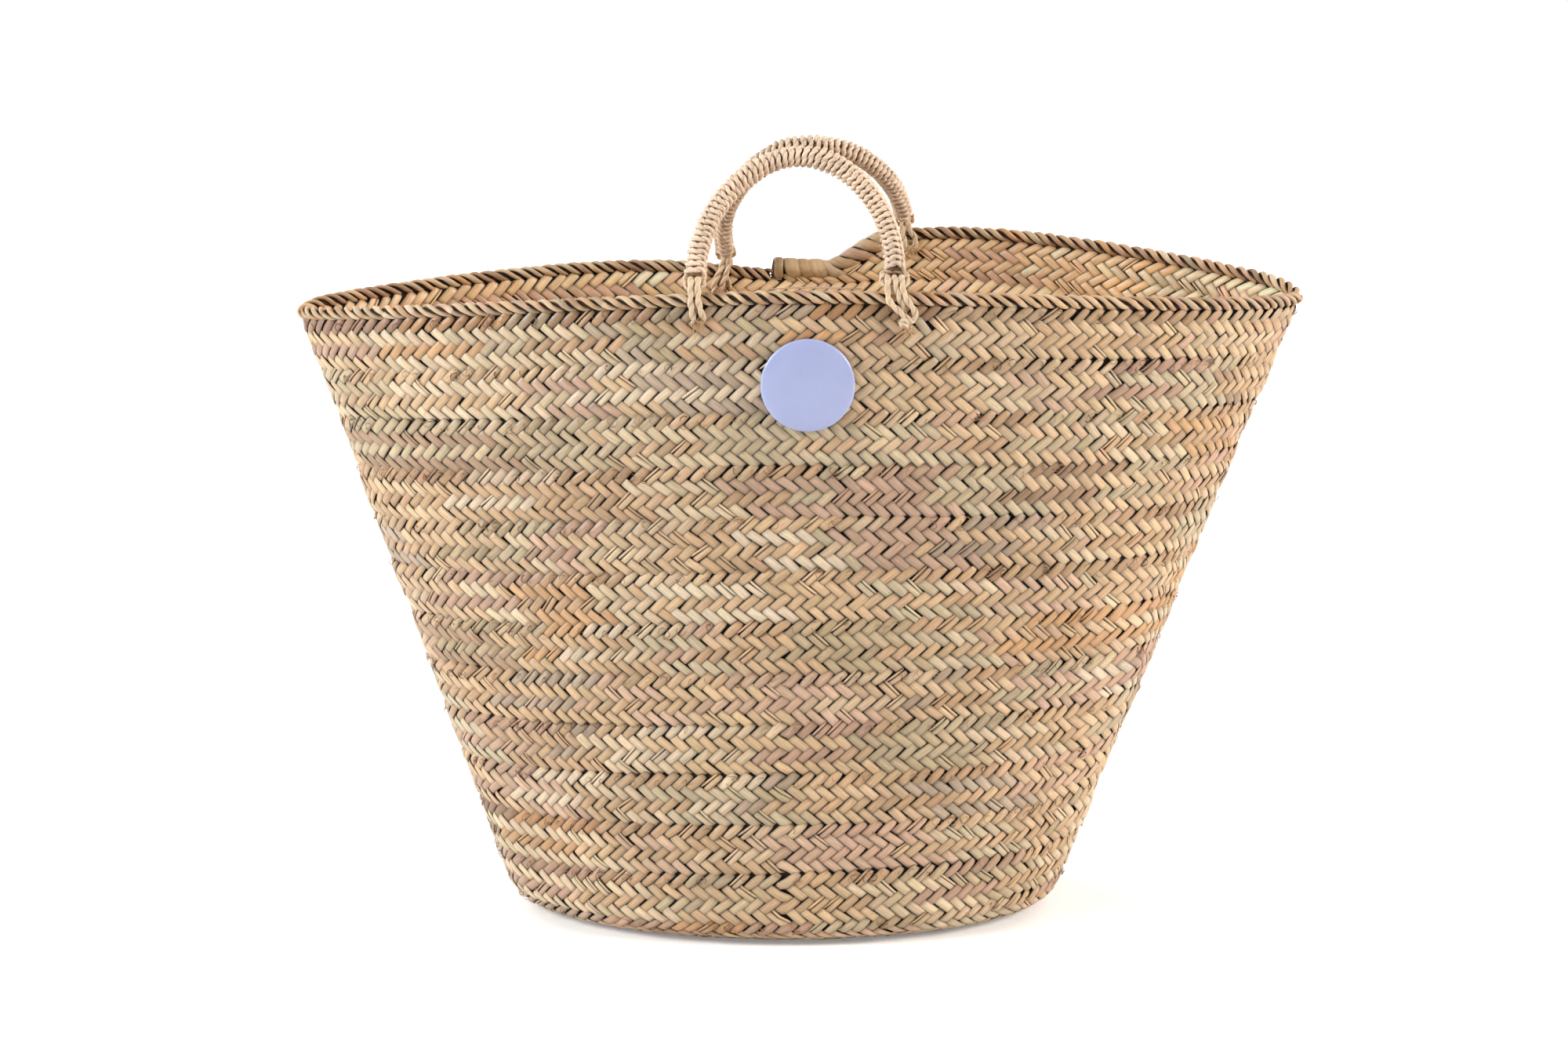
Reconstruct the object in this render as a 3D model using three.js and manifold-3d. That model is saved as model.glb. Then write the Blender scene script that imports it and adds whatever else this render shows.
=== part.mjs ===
import * as THREE from 'three';
import { mergeVertices } from 'three/addons/utils/BufferGeometryUtils.js';
import Module from 'manifold-3d';

const wasm = await Module();
wasm.setup();

// Driving sizes in millimetres, angles in degrees. +Z is up, the front faces -Y.

// The plaited palm band that is coiled and sewn edge to edge into the base and the wall.
const bandWidth = 33.6;
const bandThickness = 3.6;
const courseBulge = 1.2;
const wallCourses = 12;
const baseCourses = 3.5;

// Base outline, mouth outline and wall.
const baseHalfLength = 180;
const baseHalfDepth = 115;
const baseRoundness = 0.88;
const mouthHalfLength = 323;
const mouthHalfDepth = 125;
const mouthPointedness = 1.35;
const edgeRounding = 20;
const endDrop = 23;
const mouthShift = 6.5;
const wallFlareLimit = 1.1;
const rearLift = 4.9;
const rearDip = 13.8;
const rearDipX = 7.7;
const rearDipWidth = 80;
const seatClearance = 0.3;

// The band's last stretch, which narrows to its bound end at the rear of the rim.
const tailTurn = 2.6;
const taperLength = 66;
const taperBoundLength = 36;
const taperFall = 20.5;
const tailNarrowing = 6;
const tailNarrowingTurns = 0.6;

// Twisted edging along the rim, and the strip bound round the end of the band.
const edgingDiameter = 9;
const edgingFrom = 0.004;
const edgingTo = 0.9995;
const tailSteps = 16;
const tailFrom = 0.9;
const bandStations = 40;
const bindingThickness = 1.1;
const bindingLength = 31;
const bindingReach = 11;
const bindingWraps = 4;
const bindingPlay = 0.2;
const bindingInset = 1;

// Handles: a rope core wound with sisal cord, hung on an eye at each end.
const handleSpan = 122;
const handleHeight = 97;
const archSquareness = 1.93;
const coreDiameter = 4.8;
const windingCord = 3.5;
const windingPlay = 0.7;
const windingGap = 1.55;
const windingEndInset = 3.2;
const eyeCord = 3.4;
const eyePlay = 0.7;
const eyeRoom = 3.6;
const handleLean = 42;
const frontHandleX = -1.3;
const frontCrownShift = 3.4;
const rearHandleX = 13.8;
const rearCrownShift = 1.7;

// Lacing loops that tie each handle eye to the rim through a slot in the wall.
const lacingCord = 3.5;
const lacingGap = 0.6;
const lacingRoom = 0.95;
const lacingSlack = 0.25;
const lacingSquareness = 2.4;
const lacingSteps = 14;
const lacingSway = 0.8;
const slotBelowEdge = 10.2;
const slotRoom = 2.3;
const knotDiameter = 8.5;

// Round pin badge, bare.
const badgeDiameter = 58;
const badgeDepth = 5.6;
const badgeSkin = 0.5;
const badgeCrown = 2.2;
const badgeLipWidth = 3.8;
const badgeLipThickness = 0.6;
const badgeLipRise = 0.05;
const badgeLipStep = 0.1;
const badgeHemRise = 0.15;
const badgeBend = 0.2;
const badgeShoulder = 1;
const badgeX = 7;
const badgeBelowRim = 59;
const badgeBackInset = 1;
const badgeSides = 28;
const pinDiameter = 1;
const pinBow = 0.2;

// Sizes that follow from the ones above.
const wallHeight = bandWidth * (wallCourses + 0.5);
const edgingRadius = edgingDiameter / 2;
const eyeRadius = eyeCord / 2;
const eyeHeight = eyeCord + lacingCord + eyeRoom;
const windingDiameter = coreDiameter + 2 * (windingPlay + windingCord);
const pivotLift = edgingRadius + seatClearance + eyeRadius;
const lacingPitch = lacingCord + lacingGap;
const lacingHalfWidth = edgingRadius + lacingCord / 2 + lacingRoom;
const lacingDrop = pivotLift + edgingRadius + seatClearance + slotBelowEdge;
const badgeStandoff = seatClearance + pinDiameter + pinBow - badgeLipThickness;

const radians = THREE.MathUtils.degToRad;
const clamp = THREE.MathUtils.clamp;
const lerp = THREE.MathUtils.lerp;
const up = new THREE.Vector3(0, 0, 1);

function material(color, roughness, metalness = 0) {
  return new THREE.MeshStandardMaterial({ color, roughness, metalness, side: THREE.FrontSide });
}

const palm = () => material(0xc9ab80, 0.6);
const palmEdge = () => material(0xbd9d72, 0.62);
const sisal = () => material(0xdfc8a8, 0.8);
const ropeCore = () => material(0xb99f7a, 0.9);
const badgeFilm = () => material(0xc9c9ea, 0.2);
const tinplate = () => material(0xb9bcc2, 0.35, 0.9);

// Closed meshes and booleans.

function closedGeometry(points, triangles) {
  const geometry = new THREE.BufferGeometry();
  const flat = points.flatMap((p) => [p.x, p.y, p.z]);
  geometry.setAttribute('position', new THREE.Float32BufferAttribute(flat, 3));
  geometry.setIndex(triangles.flat());
  return welded(geometry);
}

function welded(geometry) {
  const bare = geometry.clone();
  bare.deleteAttribute('normal');
  bare.deleteAttribute('uv');
  const merged = mergeVertices(bare, 1e-3);
  const index = merged.index.array;
  const kept = [];
  for (let i = 0; i < index.length; i += 3) {
    const [a, b, c] = [index[i], index[i + 1], index[i + 2]];
    if (a !== b && b !== c && c !== a) kept.push(a, b, c);
  }
  merged.setIndex(kept);
  merged.computeVertexNormals();
  return merged;
}

function solidOf(geometry) {
  const clean = welded(geometry);
  const vertProperties = new Float32Array(clean.attributes.position.array);
  const triVerts = new Uint32Array(clean.index.array);
  return new wasm.Manifold(new wasm.Mesh({ numProp: 3, vertProperties, triVerts }));
}

function geometryOf(solid) {
  const mesh = solid.getMesh();
  const geometry = new THREE.BufferGeometry();
  geometry.setAttribute('position', new THREE.BufferAttribute(mesh.vertProperties, 3));
  geometry.setIndex(new THREE.BufferAttribute(mesh.triVerts, 1));
  geometry.computeVertexNormals();
  return geometry;
}

// Skin through rings of equally many points, closed by caps, or end to end when looped.
function loft(rings, looped = false) {
  const count = rings[0].length;
  const points = rings.flat();
  const triangles = [];
  const spans = looped ? rings.length : rings.length - 1;
  for (let r = 0; r < spans; r += 1) {
    const [here, there] = [r * count, ((r + 1) % rings.length) * count];
    for (let k = 0; k < count; k += 1) {
      const next = (k + 1) % count;
      triangles.push([here + k, here + next, there + next], [here + k, there + next, there + k]);
    }
  }
  if (!looped) {
    const last = (rings.length - 1) * count;
    const ending = capTriangles(rings[rings.length - 1]);
    for (const [a, b, c] of capTriangles(rings[0])) triangles.push([a, c, b]);
    for (const [a, b, c] of ending) triangles.push([last + a, last + b, last + c]);
  }
  return closedGeometry(points, triangles);
}

function capTriangles(ring) {
  const normal = new THREE.Vector3();
  ring.forEach((point, k) => normal.add(point.clone().cross(ring[(k + 1) % ring.length])));
  normal.normalize();
  const right = ring[0].clone().sub(ring[1]).normalize();
  const above = normal.clone().cross(right);
  const flat = ring.map((point) => new THREE.Vector2(point.dot(right), point.dot(above)));
  return THREE.ShapeUtils.triangulateShape(flat, []);
}

function circleShape(radius, sides) {
  const corners = [];
  for (let k = 0; k < sides; k += 1) {
    const angle = (2 * Math.PI * (k + 0.5)) / sides;
    corners.push(new THREE.Vector2(radius * Math.cos(angle), radius * Math.sin(angle)));
  }
  return new THREE.Shape(corners);
}

function plainTube(points, radius, sides, steps) {
  const extrudePath = new THREE.CatmullRomCurve3(points, false, 'centripetal');
  return new THREE.ExtrudeGeometry(circleShape(radius, sides), { steps, extrudePath, bevelEnabled: false });
}

// A cord's tube: one ring at each point, turned to the side direction given there.
function cordTube(points, sideways, radius, sides, looped = false) {
  const count = points.length;
  const rings = points.map((point, i) => {
    const before = points[looped ? (i + count - 1) % count : Math.max(i - 1, 0)];
    const after = points[looped ? (i + 1) % count : Math.min(i + 1, count - 1)];
    const along = after.clone().sub(before).normalize();
    const side = sideways[i].clone().addScaledVector(along, -sideways[i].dot(along)).normalize();
    const across = along.clone().cross(side);
    return Array.from({ length: sides }, (unused, k) => {
      const angle = (2 * Math.PI * k) / sides;
      return point.clone()
        .addScaledVector(side, radius * Math.cos(angle))
        .addScaledVector(across, radius * Math.sin(angle));
    });
  });
  return loft(rings, looped);
}

// Least gap of a winding to itself, measured on its centre line between turns.
function reportSelfGap(name, points, stepsPerTurn, cord) {
  const fine = [];
  for (let i = 0; i < points.length - 1; i += 1) {
    for (let k = 0; k < 4; k += 1) fine.push(points[i].clone().lerp(points[i + 1], k / 4));
  }
  let least = Infinity;
  for (let i = 0; i < fine.length; i += 1) {
    const stop = Math.min(fine.length, i + stepsPerTurn * 7);
    for (let j = i + stepsPerTurn * 2; j < stop; j += 1) {
      least = Math.min(least, fine[i].distanceTo(fine[j]));
    }
  }
  console.log(`${name}: least gap to itself ${(least - cord).toFixed(2)} mm`);
}

// Basket surface. A place is given by its turns from the middle of the rear, counted
// counter-clockwise from above, and by its courses above the edge of the base.

function profileAt(courses) {
  const run = courses > 0 ? courses * bandWidth : (courses * baseHalfDepth) / baseCourses;
  if (run < -edgeRounding) return { inward: run, height: 0 };
  if (run > edgeRounding) return { inward: 0, height: run };
  return {
    inward: -((edgeRounding - run) ** 2) / (4 * edgeRounding),
    height: (edgeRounding + run) ** 2 / (4 * edgeRounding),
  };
}

// The rear of the mouth stands a little higher than the front, and dips at the band's end.
function rearRiseAt(x, sine, rise) {
  const side = clamp((sine + 0.1) / 0.4, 0, 1);
  const dip = rearDip * Math.exp(-(((x - rearDipX) / rearDipWidth) ** 2));
  return (rearLift - dip) * side * side * (3 - 2 * side) * rise ** 4;
}

function surfaceAt(turns, courses) {
  const { inward, height } = profileAt(courses);
  const rise = clamp(height / wallHeight, 0, wallFlareLimit);
  const angle = Math.PI / 2 + 2 * Math.PI * turns + radians(tailTurn) * rise;
  const halfLength = lerp(baseHalfLength, mouthHalfLength, rise) + inward;
  const halfDepth = lerp(baseHalfDepth, mouthHalfDepth, rise) + inward;
  const power = lerp(baseRoundness, mouthPointedness, clamp(rise, 0, 1));
  const [cosine, sine] = [Math.cos(angle), Math.sin(angle)];
  const x = halfLength * cosine - mouthShift * (1 - rise);
  return new THREE.Vector3(
    x,
    halfDepth * Math.sign(sine) * Math.abs(sine) ** power,
    height * (1 - (endDrop / wallHeight) * Math.abs(cosine) ** 1.6) + rearRiseAt(x, sine, rise),
  );
}

function outwardAt(turns, courses) {
  if (profileAt(courses).height === 0) return new THREE.Vector3(0, 0, -1);
  const around = surfaceAt(turns + 0.006, courses).sub(surfaceAt(turns - 0.006, courses));
  const upward = surfaceAt(turns, courses + 0.05).sub(surfaceAt(turns, courses - 0.05));
  return around.cross(upward).normalize();
}

// The coiled band as one solid. Station i lies i/stations turns along the coil, and its
// upper edge is the lower edge of the station one turn further on.
function coiledBand({ stations, from, to, outer, inner, flatUnderside }) {
  const total = Math.round(stations * (to.turns));
  const lower = (i) => Math.max(from.courses, from.courses + i / stations - 1);
  const upper = (i) => Math.min(to.courses, from.courses + i / stations) - to.narrowing(i / stations);
  const points = [];
  const placed = new Map();
  const place = (i, v, side) => {
    const share = v >= 1 && i + stations <= total ? [i + stations, 0] : [i, v];
    const key = `${share[0]}:${share[1]}:${side}`;
    if (!placed.has(key)) {
      placed.set(key, points.length);
      points.push(bandPoint(i, v, side));
    }
    return placed.get(key);
  };
  const bandPoint = (i, v, side) => {
    const courses = lerp(lower(i), upper(i), v);
    const width = upper(i) - lower(i);
    const swell = courseBulge * (1 - (2 * v - 1) ** 4) * clamp(width * 1.5, 0, 1);
    const turns = from.courses + i / stations;
    const normal = outwardAt(turns, courses);
    const onWall = flatUnderside ? clamp(1 + courses / 0.6, 0, 1) : 1;
    const lift = side === 'outer' ? swell * onWall : -bandThickness - swell;
    return surfaceAt(turns, courses).addScaledVector(normal, lift);
  };
  const triangles = [];
  const quad = (i, corners) => {
    const [a, b, c, d] = corners.map(([step, v, side]) => place(i + step, v, side));
    triangles.push([a, b, c], [a, c, d]);
  };
  for (let i = 0; i < total; i += 1) {
    for (let k = 0; k < outer.length - 1; k += 1) {
      const [low, high] = [outer[k], outer[k + 1]];
      quad(i, [[0, low, 'outer'], [1, low, 'outer'], [1, high, 'outer'], [0, high, 'outer']]);
    }
    for (let k = 0; k < inner.length - 1; k += 1) {
      const [low, high] = [inner[k], inner[k + 1]];
      quad(i, [[1, low, 'inner'], [0, low, 'inner'], [0, high, 'inner'], [1, high, 'inner']]);
    }
    if (from.open && i < stations) {
      quad(i, [[0, 0, 'inner'], [1, 0, 'inner'], [1, 0, 'outer'], [0, 0, 'outer']]);
    }
    if (i >= total - stations) {
      quad(i, [[0, 1, 'outer'], [1, 1, 'outer'], [1, 1, 'inner'], [0, 1, 'inner']]);
    }
  }
  const endLoop = [
    ...outer.map((v) => place(total, v, 'outer')),
    ...inner.slice().reverse().map((v) => place(total, v, 'inner')),
  ];
  for (let k = 1; k < endLoop.length - 1; k += 1) {
    triangles.push([endLoop[0], endLoop[k + 1], endLoop[k]]);
  }
  return closedGeometry(points, triangles);
}

// How far the band is narrower than a course, counted in courses, over its last turn.
function narrowedAt(turns) {
  const share = clamp((turns - wallCourses - 1) / tailNarrowingTurns + 1, 0, 1);
  return (tailNarrowing / bandWidth) * share * share * (3 - 2 * share);
}

// Rim line. The free edge climbs one course in a turn, then falls along the tapered tail.

const tailEndX = surfaceAt(1, wallCourses + 1).x;
const taperStartX = tailEndX + taperBoundLength + taperLength;

function tailFall(x) {
  const share = clamp((taperStartX - x) / taperLength, 0, 1) ** 1.6;
  return taperFall * (0.5 - 0.5 * Math.cos(Math.PI * share));
}

function rimEdgeAt(turns) {
  const courses = wallCourses + turns - narrowedAt(wallCourses + turns);
  const outward = outwardAt(turns, courses);
  const point = surfaceAt(turns, courses).addScaledVector(outward, -bandThickness / 2);
  if (turns > tailFrom) point.z -= tailFall(point.x);
  return { point, outward };
}

// The rim's frame: the middle of the wall's free edge, and the ways along, out and up.
function rimFrame(turns) {
  const { point, outward } = rimEdgeAt(turns);
  const along = rimEdgeAt(turns + 0.001).point.sub(rimEdgeAt(turns - 0.001).point).normalize();
  const lift = outward.clone().cross(along).normalize();
  return { point, along, lift, outward: along.clone().cross(lift) };
}

function overRim(turns) {
  const { point, lift } = rimFrame(turns);
  return point.addScaledVector(lift, edgingRadius + seatClearance);
}

// The edging's centre line runs straight from one of the wall's stations to the next,
// as the edge under it does, and follows the cut of the tail.
function rimAt(turns) {
  if (turns > tailFrom) return overRim(turns);
  const station = Math.floor(turns * bandStations);
  const share = turns * bandStations - station;
  return overRim(station / bandStations).lerp(overRim((station + 1) / bandStations), share);
}

function turnsWhere(xAt, x, from, to) {
  let [low, high] = [from, to];
  const rising = xAt(high) > xAt(low);
  for (let i = 0; i < 40; i += 1) {
    const middle = (low + high) / 2;
    if (xAt(middle) < x === rising) low = middle;
    else high = middle;
  }
  return (low + high) / 2;
}

function rimTurnsAt(x, from, to) {
  return turnsWhere((turns) => rimAt(turns).x, x, from, to);
}

function taperCutter() {
  const reach = 2 * bandWidth;
  const past = 2;
  const top = surfaceAt(1, wallCourses + 1).z;
  const edge = (x) => rimEdgeAt(turnsWhere((turns) => rimEdgeAt(turns).point.x, x, tailFrom, 1)).point.z;
  const outline = new THREE.Shape();
  outline.moveTo(taperStartX, top + reach);
  outline.lineTo(tailEndX - past, top + reach);
  const count = 20;
  for (let k = 0; k <= count; k += 1) {
    const x = lerp(tailEndX - past, taperStartX, k / count);
    outline.lineTo(x, edge(Math.max(x, tailEndX)));
  }
  const block = new THREE.ExtrudeGeometry(outline, { depth: reach, bevelEnabled: false });
  block.rotateX(Math.PI / 2);
  block.translate(0, mouthHalfDepth + reach / 2, 0);
  return solidOf(block);
}

// Handle places on the rim and their hinge lines.

// The hinge bar of each eye lies across the rim. Where the hinge line slopes against the
// rim, the bar is lifted so that its low corner clears the edging.
function handlePlace(centreX, crownShift, front, lacingTurns) {
  const spans = front ? [[0.3, 0.7], [0.3, 0.7]] : [[0.001, 0.25], [0.75, 0.999]];
  const rimTurns = [-1, 1].map((side, end) => rimTurnsAt(centreX + (side * handleSpan) / 2, ...spans[end]));
  const seats = rimTurns.map((turns) => rimAt(turns).addScaledVector(up, pivotLift));
  const slope = seats[1].clone().sub(seats[0]).normalize();
  const ends = seats.map((seat, end) => {
    const along = rimFrame(rimTurns[end]).along;
    const tilt = Math.abs(slope.z - Math.sign(along.x) * along.z);
    return seat.clone().addScaledVector(up, tilt * eyeWidth(lacingTurns[end]));
  });
  const axis = ends[1].clone().sub(ends[0]);
  const span = axis.length();
  axis.normalize();
  const outward = new THREE.Vector3(0, front ? -1 : 1, 0);
  outward.addScaledVector(axis, -outward.dot(axis)).normalize();
  const rise = front ? outward.clone().cross(axis) : axis.clone().cross(outward);
  return { ends, axis, outward, rise, span, crownShift, front, lacingTurns };
}

const places = {
  front: handlePlace(frontHandleX, frontCrownShift, true, [2, 3]),
  rear: handlePlace(rearHandleX, rearCrownShift, false, [2, 2]),
};

function handleFrame(place) {
  const forward = place.rise.clone().cross(place.axis);
  const basis = new THREE.Matrix4().makeBasis(place.axis, forward, place.rise);
  const lean = radians(place.front ? -handleLean : handleLean);
  basis.multiply(new THREE.Matrix4().makeRotationX(lean));
  const middle = place.ends[0].clone().add(place.ends[1]).multiplyScalar(0.5);
  basis.setPosition(middle);
  const group = new THREE.Group();
  group.applyMatrix4(basis);
  return group;
}

// Arch of a handle in its own plane, x along the hinge line and z up from it.
function archAt(place, share) {
  const angle = Math.PI * (1 - share);
  const [cosine, sine] = [Math.cos(angle), Math.sin(angle)];
  const climb = Math.abs(sine) ** (2 / archSquareness);
  const side = Math.sign(cosine) * Math.abs(cosine) ** (2 / archSquareness);
  const z = eyeHeight + (handleHeight - eyeHeight) * climb;
  return new THREE.Vector3((place.span / 2) * side + place.crownShift * (z / handleHeight), 0, z);
}

function archCurve(place) {
  const count = 36;
  const points = Array.from({ length: count + 1 }, (unused, k) => archAt(place, k / count));
  return new THREE.CatmullRomCurve3(points, false, 'centripetal');
}

function eyeWidth(turns) {
  return ((turns - 1) * lacingPitch) / 2 + lacingCord / 2 + seatClearance + eyePlay + eyeRadius;
}

// The eye at a handle's end: a squarish loop of cord whose lower side is the hinge bar.
function roundedLoop(halfWidth, halfHeight) {
  const count = 16;
  const points = [];
  for (let k = 0; k < count; k += 1) {
    const angle = (2 * Math.PI * (k + 0.5)) / count;
    const x = halfWidth * Math.sign(Math.cos(angle)) * Math.sqrt(Math.abs(Math.cos(angle)));
    const z = halfHeight * Math.sign(Math.sin(angle)) * Math.sqrt(Math.abs(Math.sin(angle)));
    points.push(new THREE.Vector3(x, 0, z));
  }
  const sideways = points.map(() => new THREE.Vector3(0, 1, 0));
  return cordTube(points, sideways, eyeRadius, 6, true);
}

function handleCore(place) {
  const points = archCurve(place).getSpacedPoints(40);
  let core = solidOf(plainTube(points, coreDiameter / 2, 8, 40));
  for (const [side, turns] of [[-1, place.lacingTurns[0]], [1, place.lacingTurns[1]]]) {
    const eye = roundedLoop(eyeWidth(turns), eyeHeight / 2);
    eye.translate((side * place.span) / 2, 0, eyeHeight / 2);
    core = core.add(solidOf(eye));
  }
  return geometryOf(core);
}

function handleWinding(place, name) {
  const curve = archCurve(place);
  const steps = 8;
  const radius = (windingDiameter - windingCord) / 2;
  const inset = windingEndInset / curve.getLength();
  const wound = curve.getLength() - 2 * windingEndInset;
  const turns = Math.floor(wound / (windingCord + windingGap));
  const points = [];
  const sideways = [];
  const total = turns * steps;
  for (let k = 0; k <= total; k += 1) {
    const share = lerp(inset, 1 - inset, k / total);
    const along = curve.getTangentAt(share);
    const across = new THREE.Vector3(0, 1, 0);
    const outwards = across.clone().cross(along);
    const angle = (2 * Math.PI * k) / steps;
    const radial = outwards.multiplyScalar(Math.cos(angle)).addScaledVector(across, Math.sin(angle));
    points.push(curve.getPointAt(share).addScaledVector(radial, radius));
    sideways.push(radial);
  }
  reportSelfGap(name, points, steps, windingCord);
  return cordTube(points, sideways, windingCord / 2, 5);
}

// Lacing of one handle end: loops round the eye's bar and the rim, through the slot.
function lacingPath(place, end) {
  const turns = place.lacingTurns[end];
  const top = eyeRadius + seatClearance + lacingCord / 2 + lacingSlack;
  const halfHeight = (top + lacingDrop) / 2;
  const points = [];
  for (let k = 0; k <= turns * lacingSteps; k += 1) {
    const angle = (2 * Math.PI * k) / lacingSteps + Math.PI;
    const [cosine, sine] = [Math.cos(angle), Math.sin(angle)];
    const out = lacingHalfWidth * Math.sign(cosine) * Math.abs(cosine) ** (2 / lacingSquareness);
    const rise = halfHeight * Math.sign(sine) * Math.abs(sine) ** (2 / lacingSquareness);
    const step = lacingPitch * (k / lacingSteps - turns / 2 - 0.25);
    points.push(place.ends[end].clone()
      .addScaledVector(place.outward, out)
      .addScaledVector(up, rise + top - halfHeight)
      .addScaledVector(place.axis, step));
  }
  return points;
}

function lacingLoops(place, end, name) {
  const points = lacingPath(place, end);
  reportSelfGap(name, points, lacingSteps, lacingCord);
  return cordTube(points, points.map(() => place.axis), lacingCord / 2, 5);
}

// Knot that ties off the lacing at the right of the front handle, outside the wall.
function knottedLacing(place, end, name) {
  const knot = new THREE.SphereGeometry(knotDiameter / 2, 9, 6);
  knot.scale(1.15, 0.8, 0.9);
  const centre = place.ends[end].clone()
    .addScaledVector(place.outward, lacingHalfWidth)
    .addScaledVector(up, -lacingDrop - knotDiameter * 0.1);
  knot.translate(centre.x, centre.y, centre.z);
  return geometryOf(solidOf(lacingLoops(place, end, name)).add(solidOf(knot)));
}

function slotCutter(place, end) {
  const passes = place.lacingTurns[end] - 1;
  const width = passes * lacingPitch + lacingCord + 2 * seatClearance + lacingSway;
  const box = new THREE.BoxGeometry(width, 4 * bandThickness, lacingCord + slotRoom);
  const centre = place.ends[end].clone()
    .addScaledVector(place.axis, -lacingPitch / 2)
    .addScaledVector(up, -lacingDrop + seatClearance);
  const rise = place.axis.clone().cross(place.outward);
  const basis = new THREE.Matrix4().makeBasis(place.axis, place.outward, rise);
  box.applyMatrix4(basis.setPosition(centre));
  return solidOf(box);
}

// Pieces.

function mesh(name, geometry, finish) {
  const piece = new THREE.Mesh(geometry, finish);
  piece.name = name;
  return piece;
}

function baseBraid() {
  return coiledBand({
    stations: bandStations,
    from: { courses: -baseCourses, open: false },
    to: { courses: -seatClearance / bandWidth, turns: baseCourses + 1, narrowing: () => 0 },
    outer: [0, 1],
    inner: [0, 0.5, 1],
    flatUnderside: true,
  });
}

function wallBand() {
  return coiledBand({
    stations: bandStations,
    from: { courses: 0, open: true },
    to: { courses: wallCourses + 1, turns: wallCourses + 1, narrowing: narrowedAt },
    outer: [0, 0.2, 0.8, 1],
    inner: [0, 1],
    flatUnderside: false,
  });
}

// The wall, with its tapered tail and the slots that the lacing passes through.
function wallBraid() {
  let wall = solidOf(wallBand()).subtract(taperCutter());
  for (const place of Object.values(places)) {
    for (const end of [0, 1]) wall = wall.subtract(slotCutter(place, end));
  }
  return geometryOf(wall);
}

function rimEdging() {
  const tailStart = rimTurnsAt(taperStartX + edgingDiameter, 0.75, edgingTo);
  const stations = [edgingFrom];
  const step = 0.5 / bandStations;
  for (let turns = step; turns < tailStart - step / 2; turns += step) stations.push(turns);
  for (let k = 0; k <= tailSteps; k += 1) stations.push(lerp(tailStart, edgingTo, k / tailSteps));
  const lifts = stations.map((turns) => rimFrame(turns).lift);
  return cordTube(stations.map(rimAt), lifts, edgingRadius, 8);
}

// Strip bound round the end of the band and its edging, a saddle with a ridge a wrap.
function tailBinding() {
  const rings = [];
  const count = 2 * bindingWraps;
  const startX = tailEndX + bindingInset;
  for (let k = 0; k <= count; k += 1) {
    const turns = rimTurnsAt(startX + (bindingLength * k) / count, 0.9, edgingTo);
    const { lift, outward } = rimFrame(turns);
    const centre = rimAt(turns);
    const thick = bindingThickness * (k % 2 ? 1 : 0.65);
    const at = (out, high) => centre.clone().addScaledVector(outward, out).addScaledVector(lift, high);
    const inside = edgingRadius + seatClearance;
    const hem = bandThickness / 2 + courseBulge + seatClearance + bindingPlay;
    const arc = (radius, foot) => {
      const half = [at(foot, -bindingReach)];
      for (let a = 0; a <= 6; a += 1) {
        half.push(at(radius * Math.cos((Math.PI * a) / 6), radius * Math.sin((Math.PI * a) / 6)));
      }
      half.push(at(-foot, -bindingReach));
      return half;
    };
    rings.push([...arc(inside + thick, hem + thick), ...arc(inside, hem).reverse()]);
  }
  return loft(rings);
}

// The badge's place on the front wall, its Y axis turned outward.
function badgeFrame() {
  let turns = 0.5;
  let courses = wallCourses;
  const rimTop = rimAt(rimTurnsAt(badgeX, 0.3, 0.7)).z + edgingRadius;
  for (let i = 0; i < 12; i += 1) {
    const point = surfaceAt(turns, courses);
    turns += (badgeX - point.x) / (2 * Math.PI * mouthHalfLength);
    courses += (rimTop - badgeBelowRim - point.z) / bandWidth;
  }
  const outward = outwardAt(turns, courses);
  const frame = new THREE.Group();
  frame.quaternion.setFromUnitVectors(new THREE.Vector3(0, 1, 0), outward);
  frame.position.copy(surfaceAt(turns, courses)).addScaledVector(outward, courseBulge + badgeStandoff);
  return frame;
}

function lathed(profile, segments) {
  return new THREE.LatheGeometry(profile.map(([r, h]) => new THREE.Vector2(r, h)), segments);
}

// A domed cap with its edge rolled under, the back plate held above the rolled lip.
function badgeShell() {
  const radius = badgeDiameter / 2;
  const mouth = radius - badgeLipWidth;
  const side = badgeSkin + badgeBend;
  const dome = (r, depth) => [r, badgeDepth - depth - badgeCrown * (r / radius) ** 3];
  const domeRadii = [0, 0.42 * radius, 0.7 * radius, mouth];
  const edge = [[radius - side, badgeCrown], [radius, badgeShoulder]];
  const outside = [...domeRadii.map((r) => dome(r, 0)), ...edge];
  const lip = [
    [radius - badgeLipThickness, badgeHemRise],
    [radius - 3 * badgeLipThickness, 0],
    [mouth, badgeLipRise],
    [mouth, badgeLipThickness - badgeLipStep],
    [radius - 3 * badgeLipThickness + badgeLipStep, badgeLipThickness],
    [radius - side - badgeSkin, badgeCrown - badgeBend],
  ];
  const inside = domeRadii.map((r) => dome(r, badgeSkin)).reverse();
  return lathed([...outside, ...lip, ...inside].reverse(), badgeSides);
}

function badgeBack() {
  const radius = (badgeDiameter - badgeLipWidth) / 2 - badgeBackInset;
  const low = badgeLipThickness + seatClearance;
  return lathed([[0, low], [radius, low], [radius, low + badgeSkin], [0, low + badgeSkin]], badgeSides);
}

// The bent wire across the back, which goes through the braid.
function badgePin() {
  const reach = badgeDiameter * 0.3;
  const high = badgeLipThickness - pinDiameter / 2;
  const shares = [-1, -0.6, 0, 0.6, 1];
  const points = shares.map((u) => new THREE.Vector3(reach * u, high - pinBow * (1 - u * u), 0));
  return plainTube(points, pinDiameter / 2, 8, 8);
}

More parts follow.
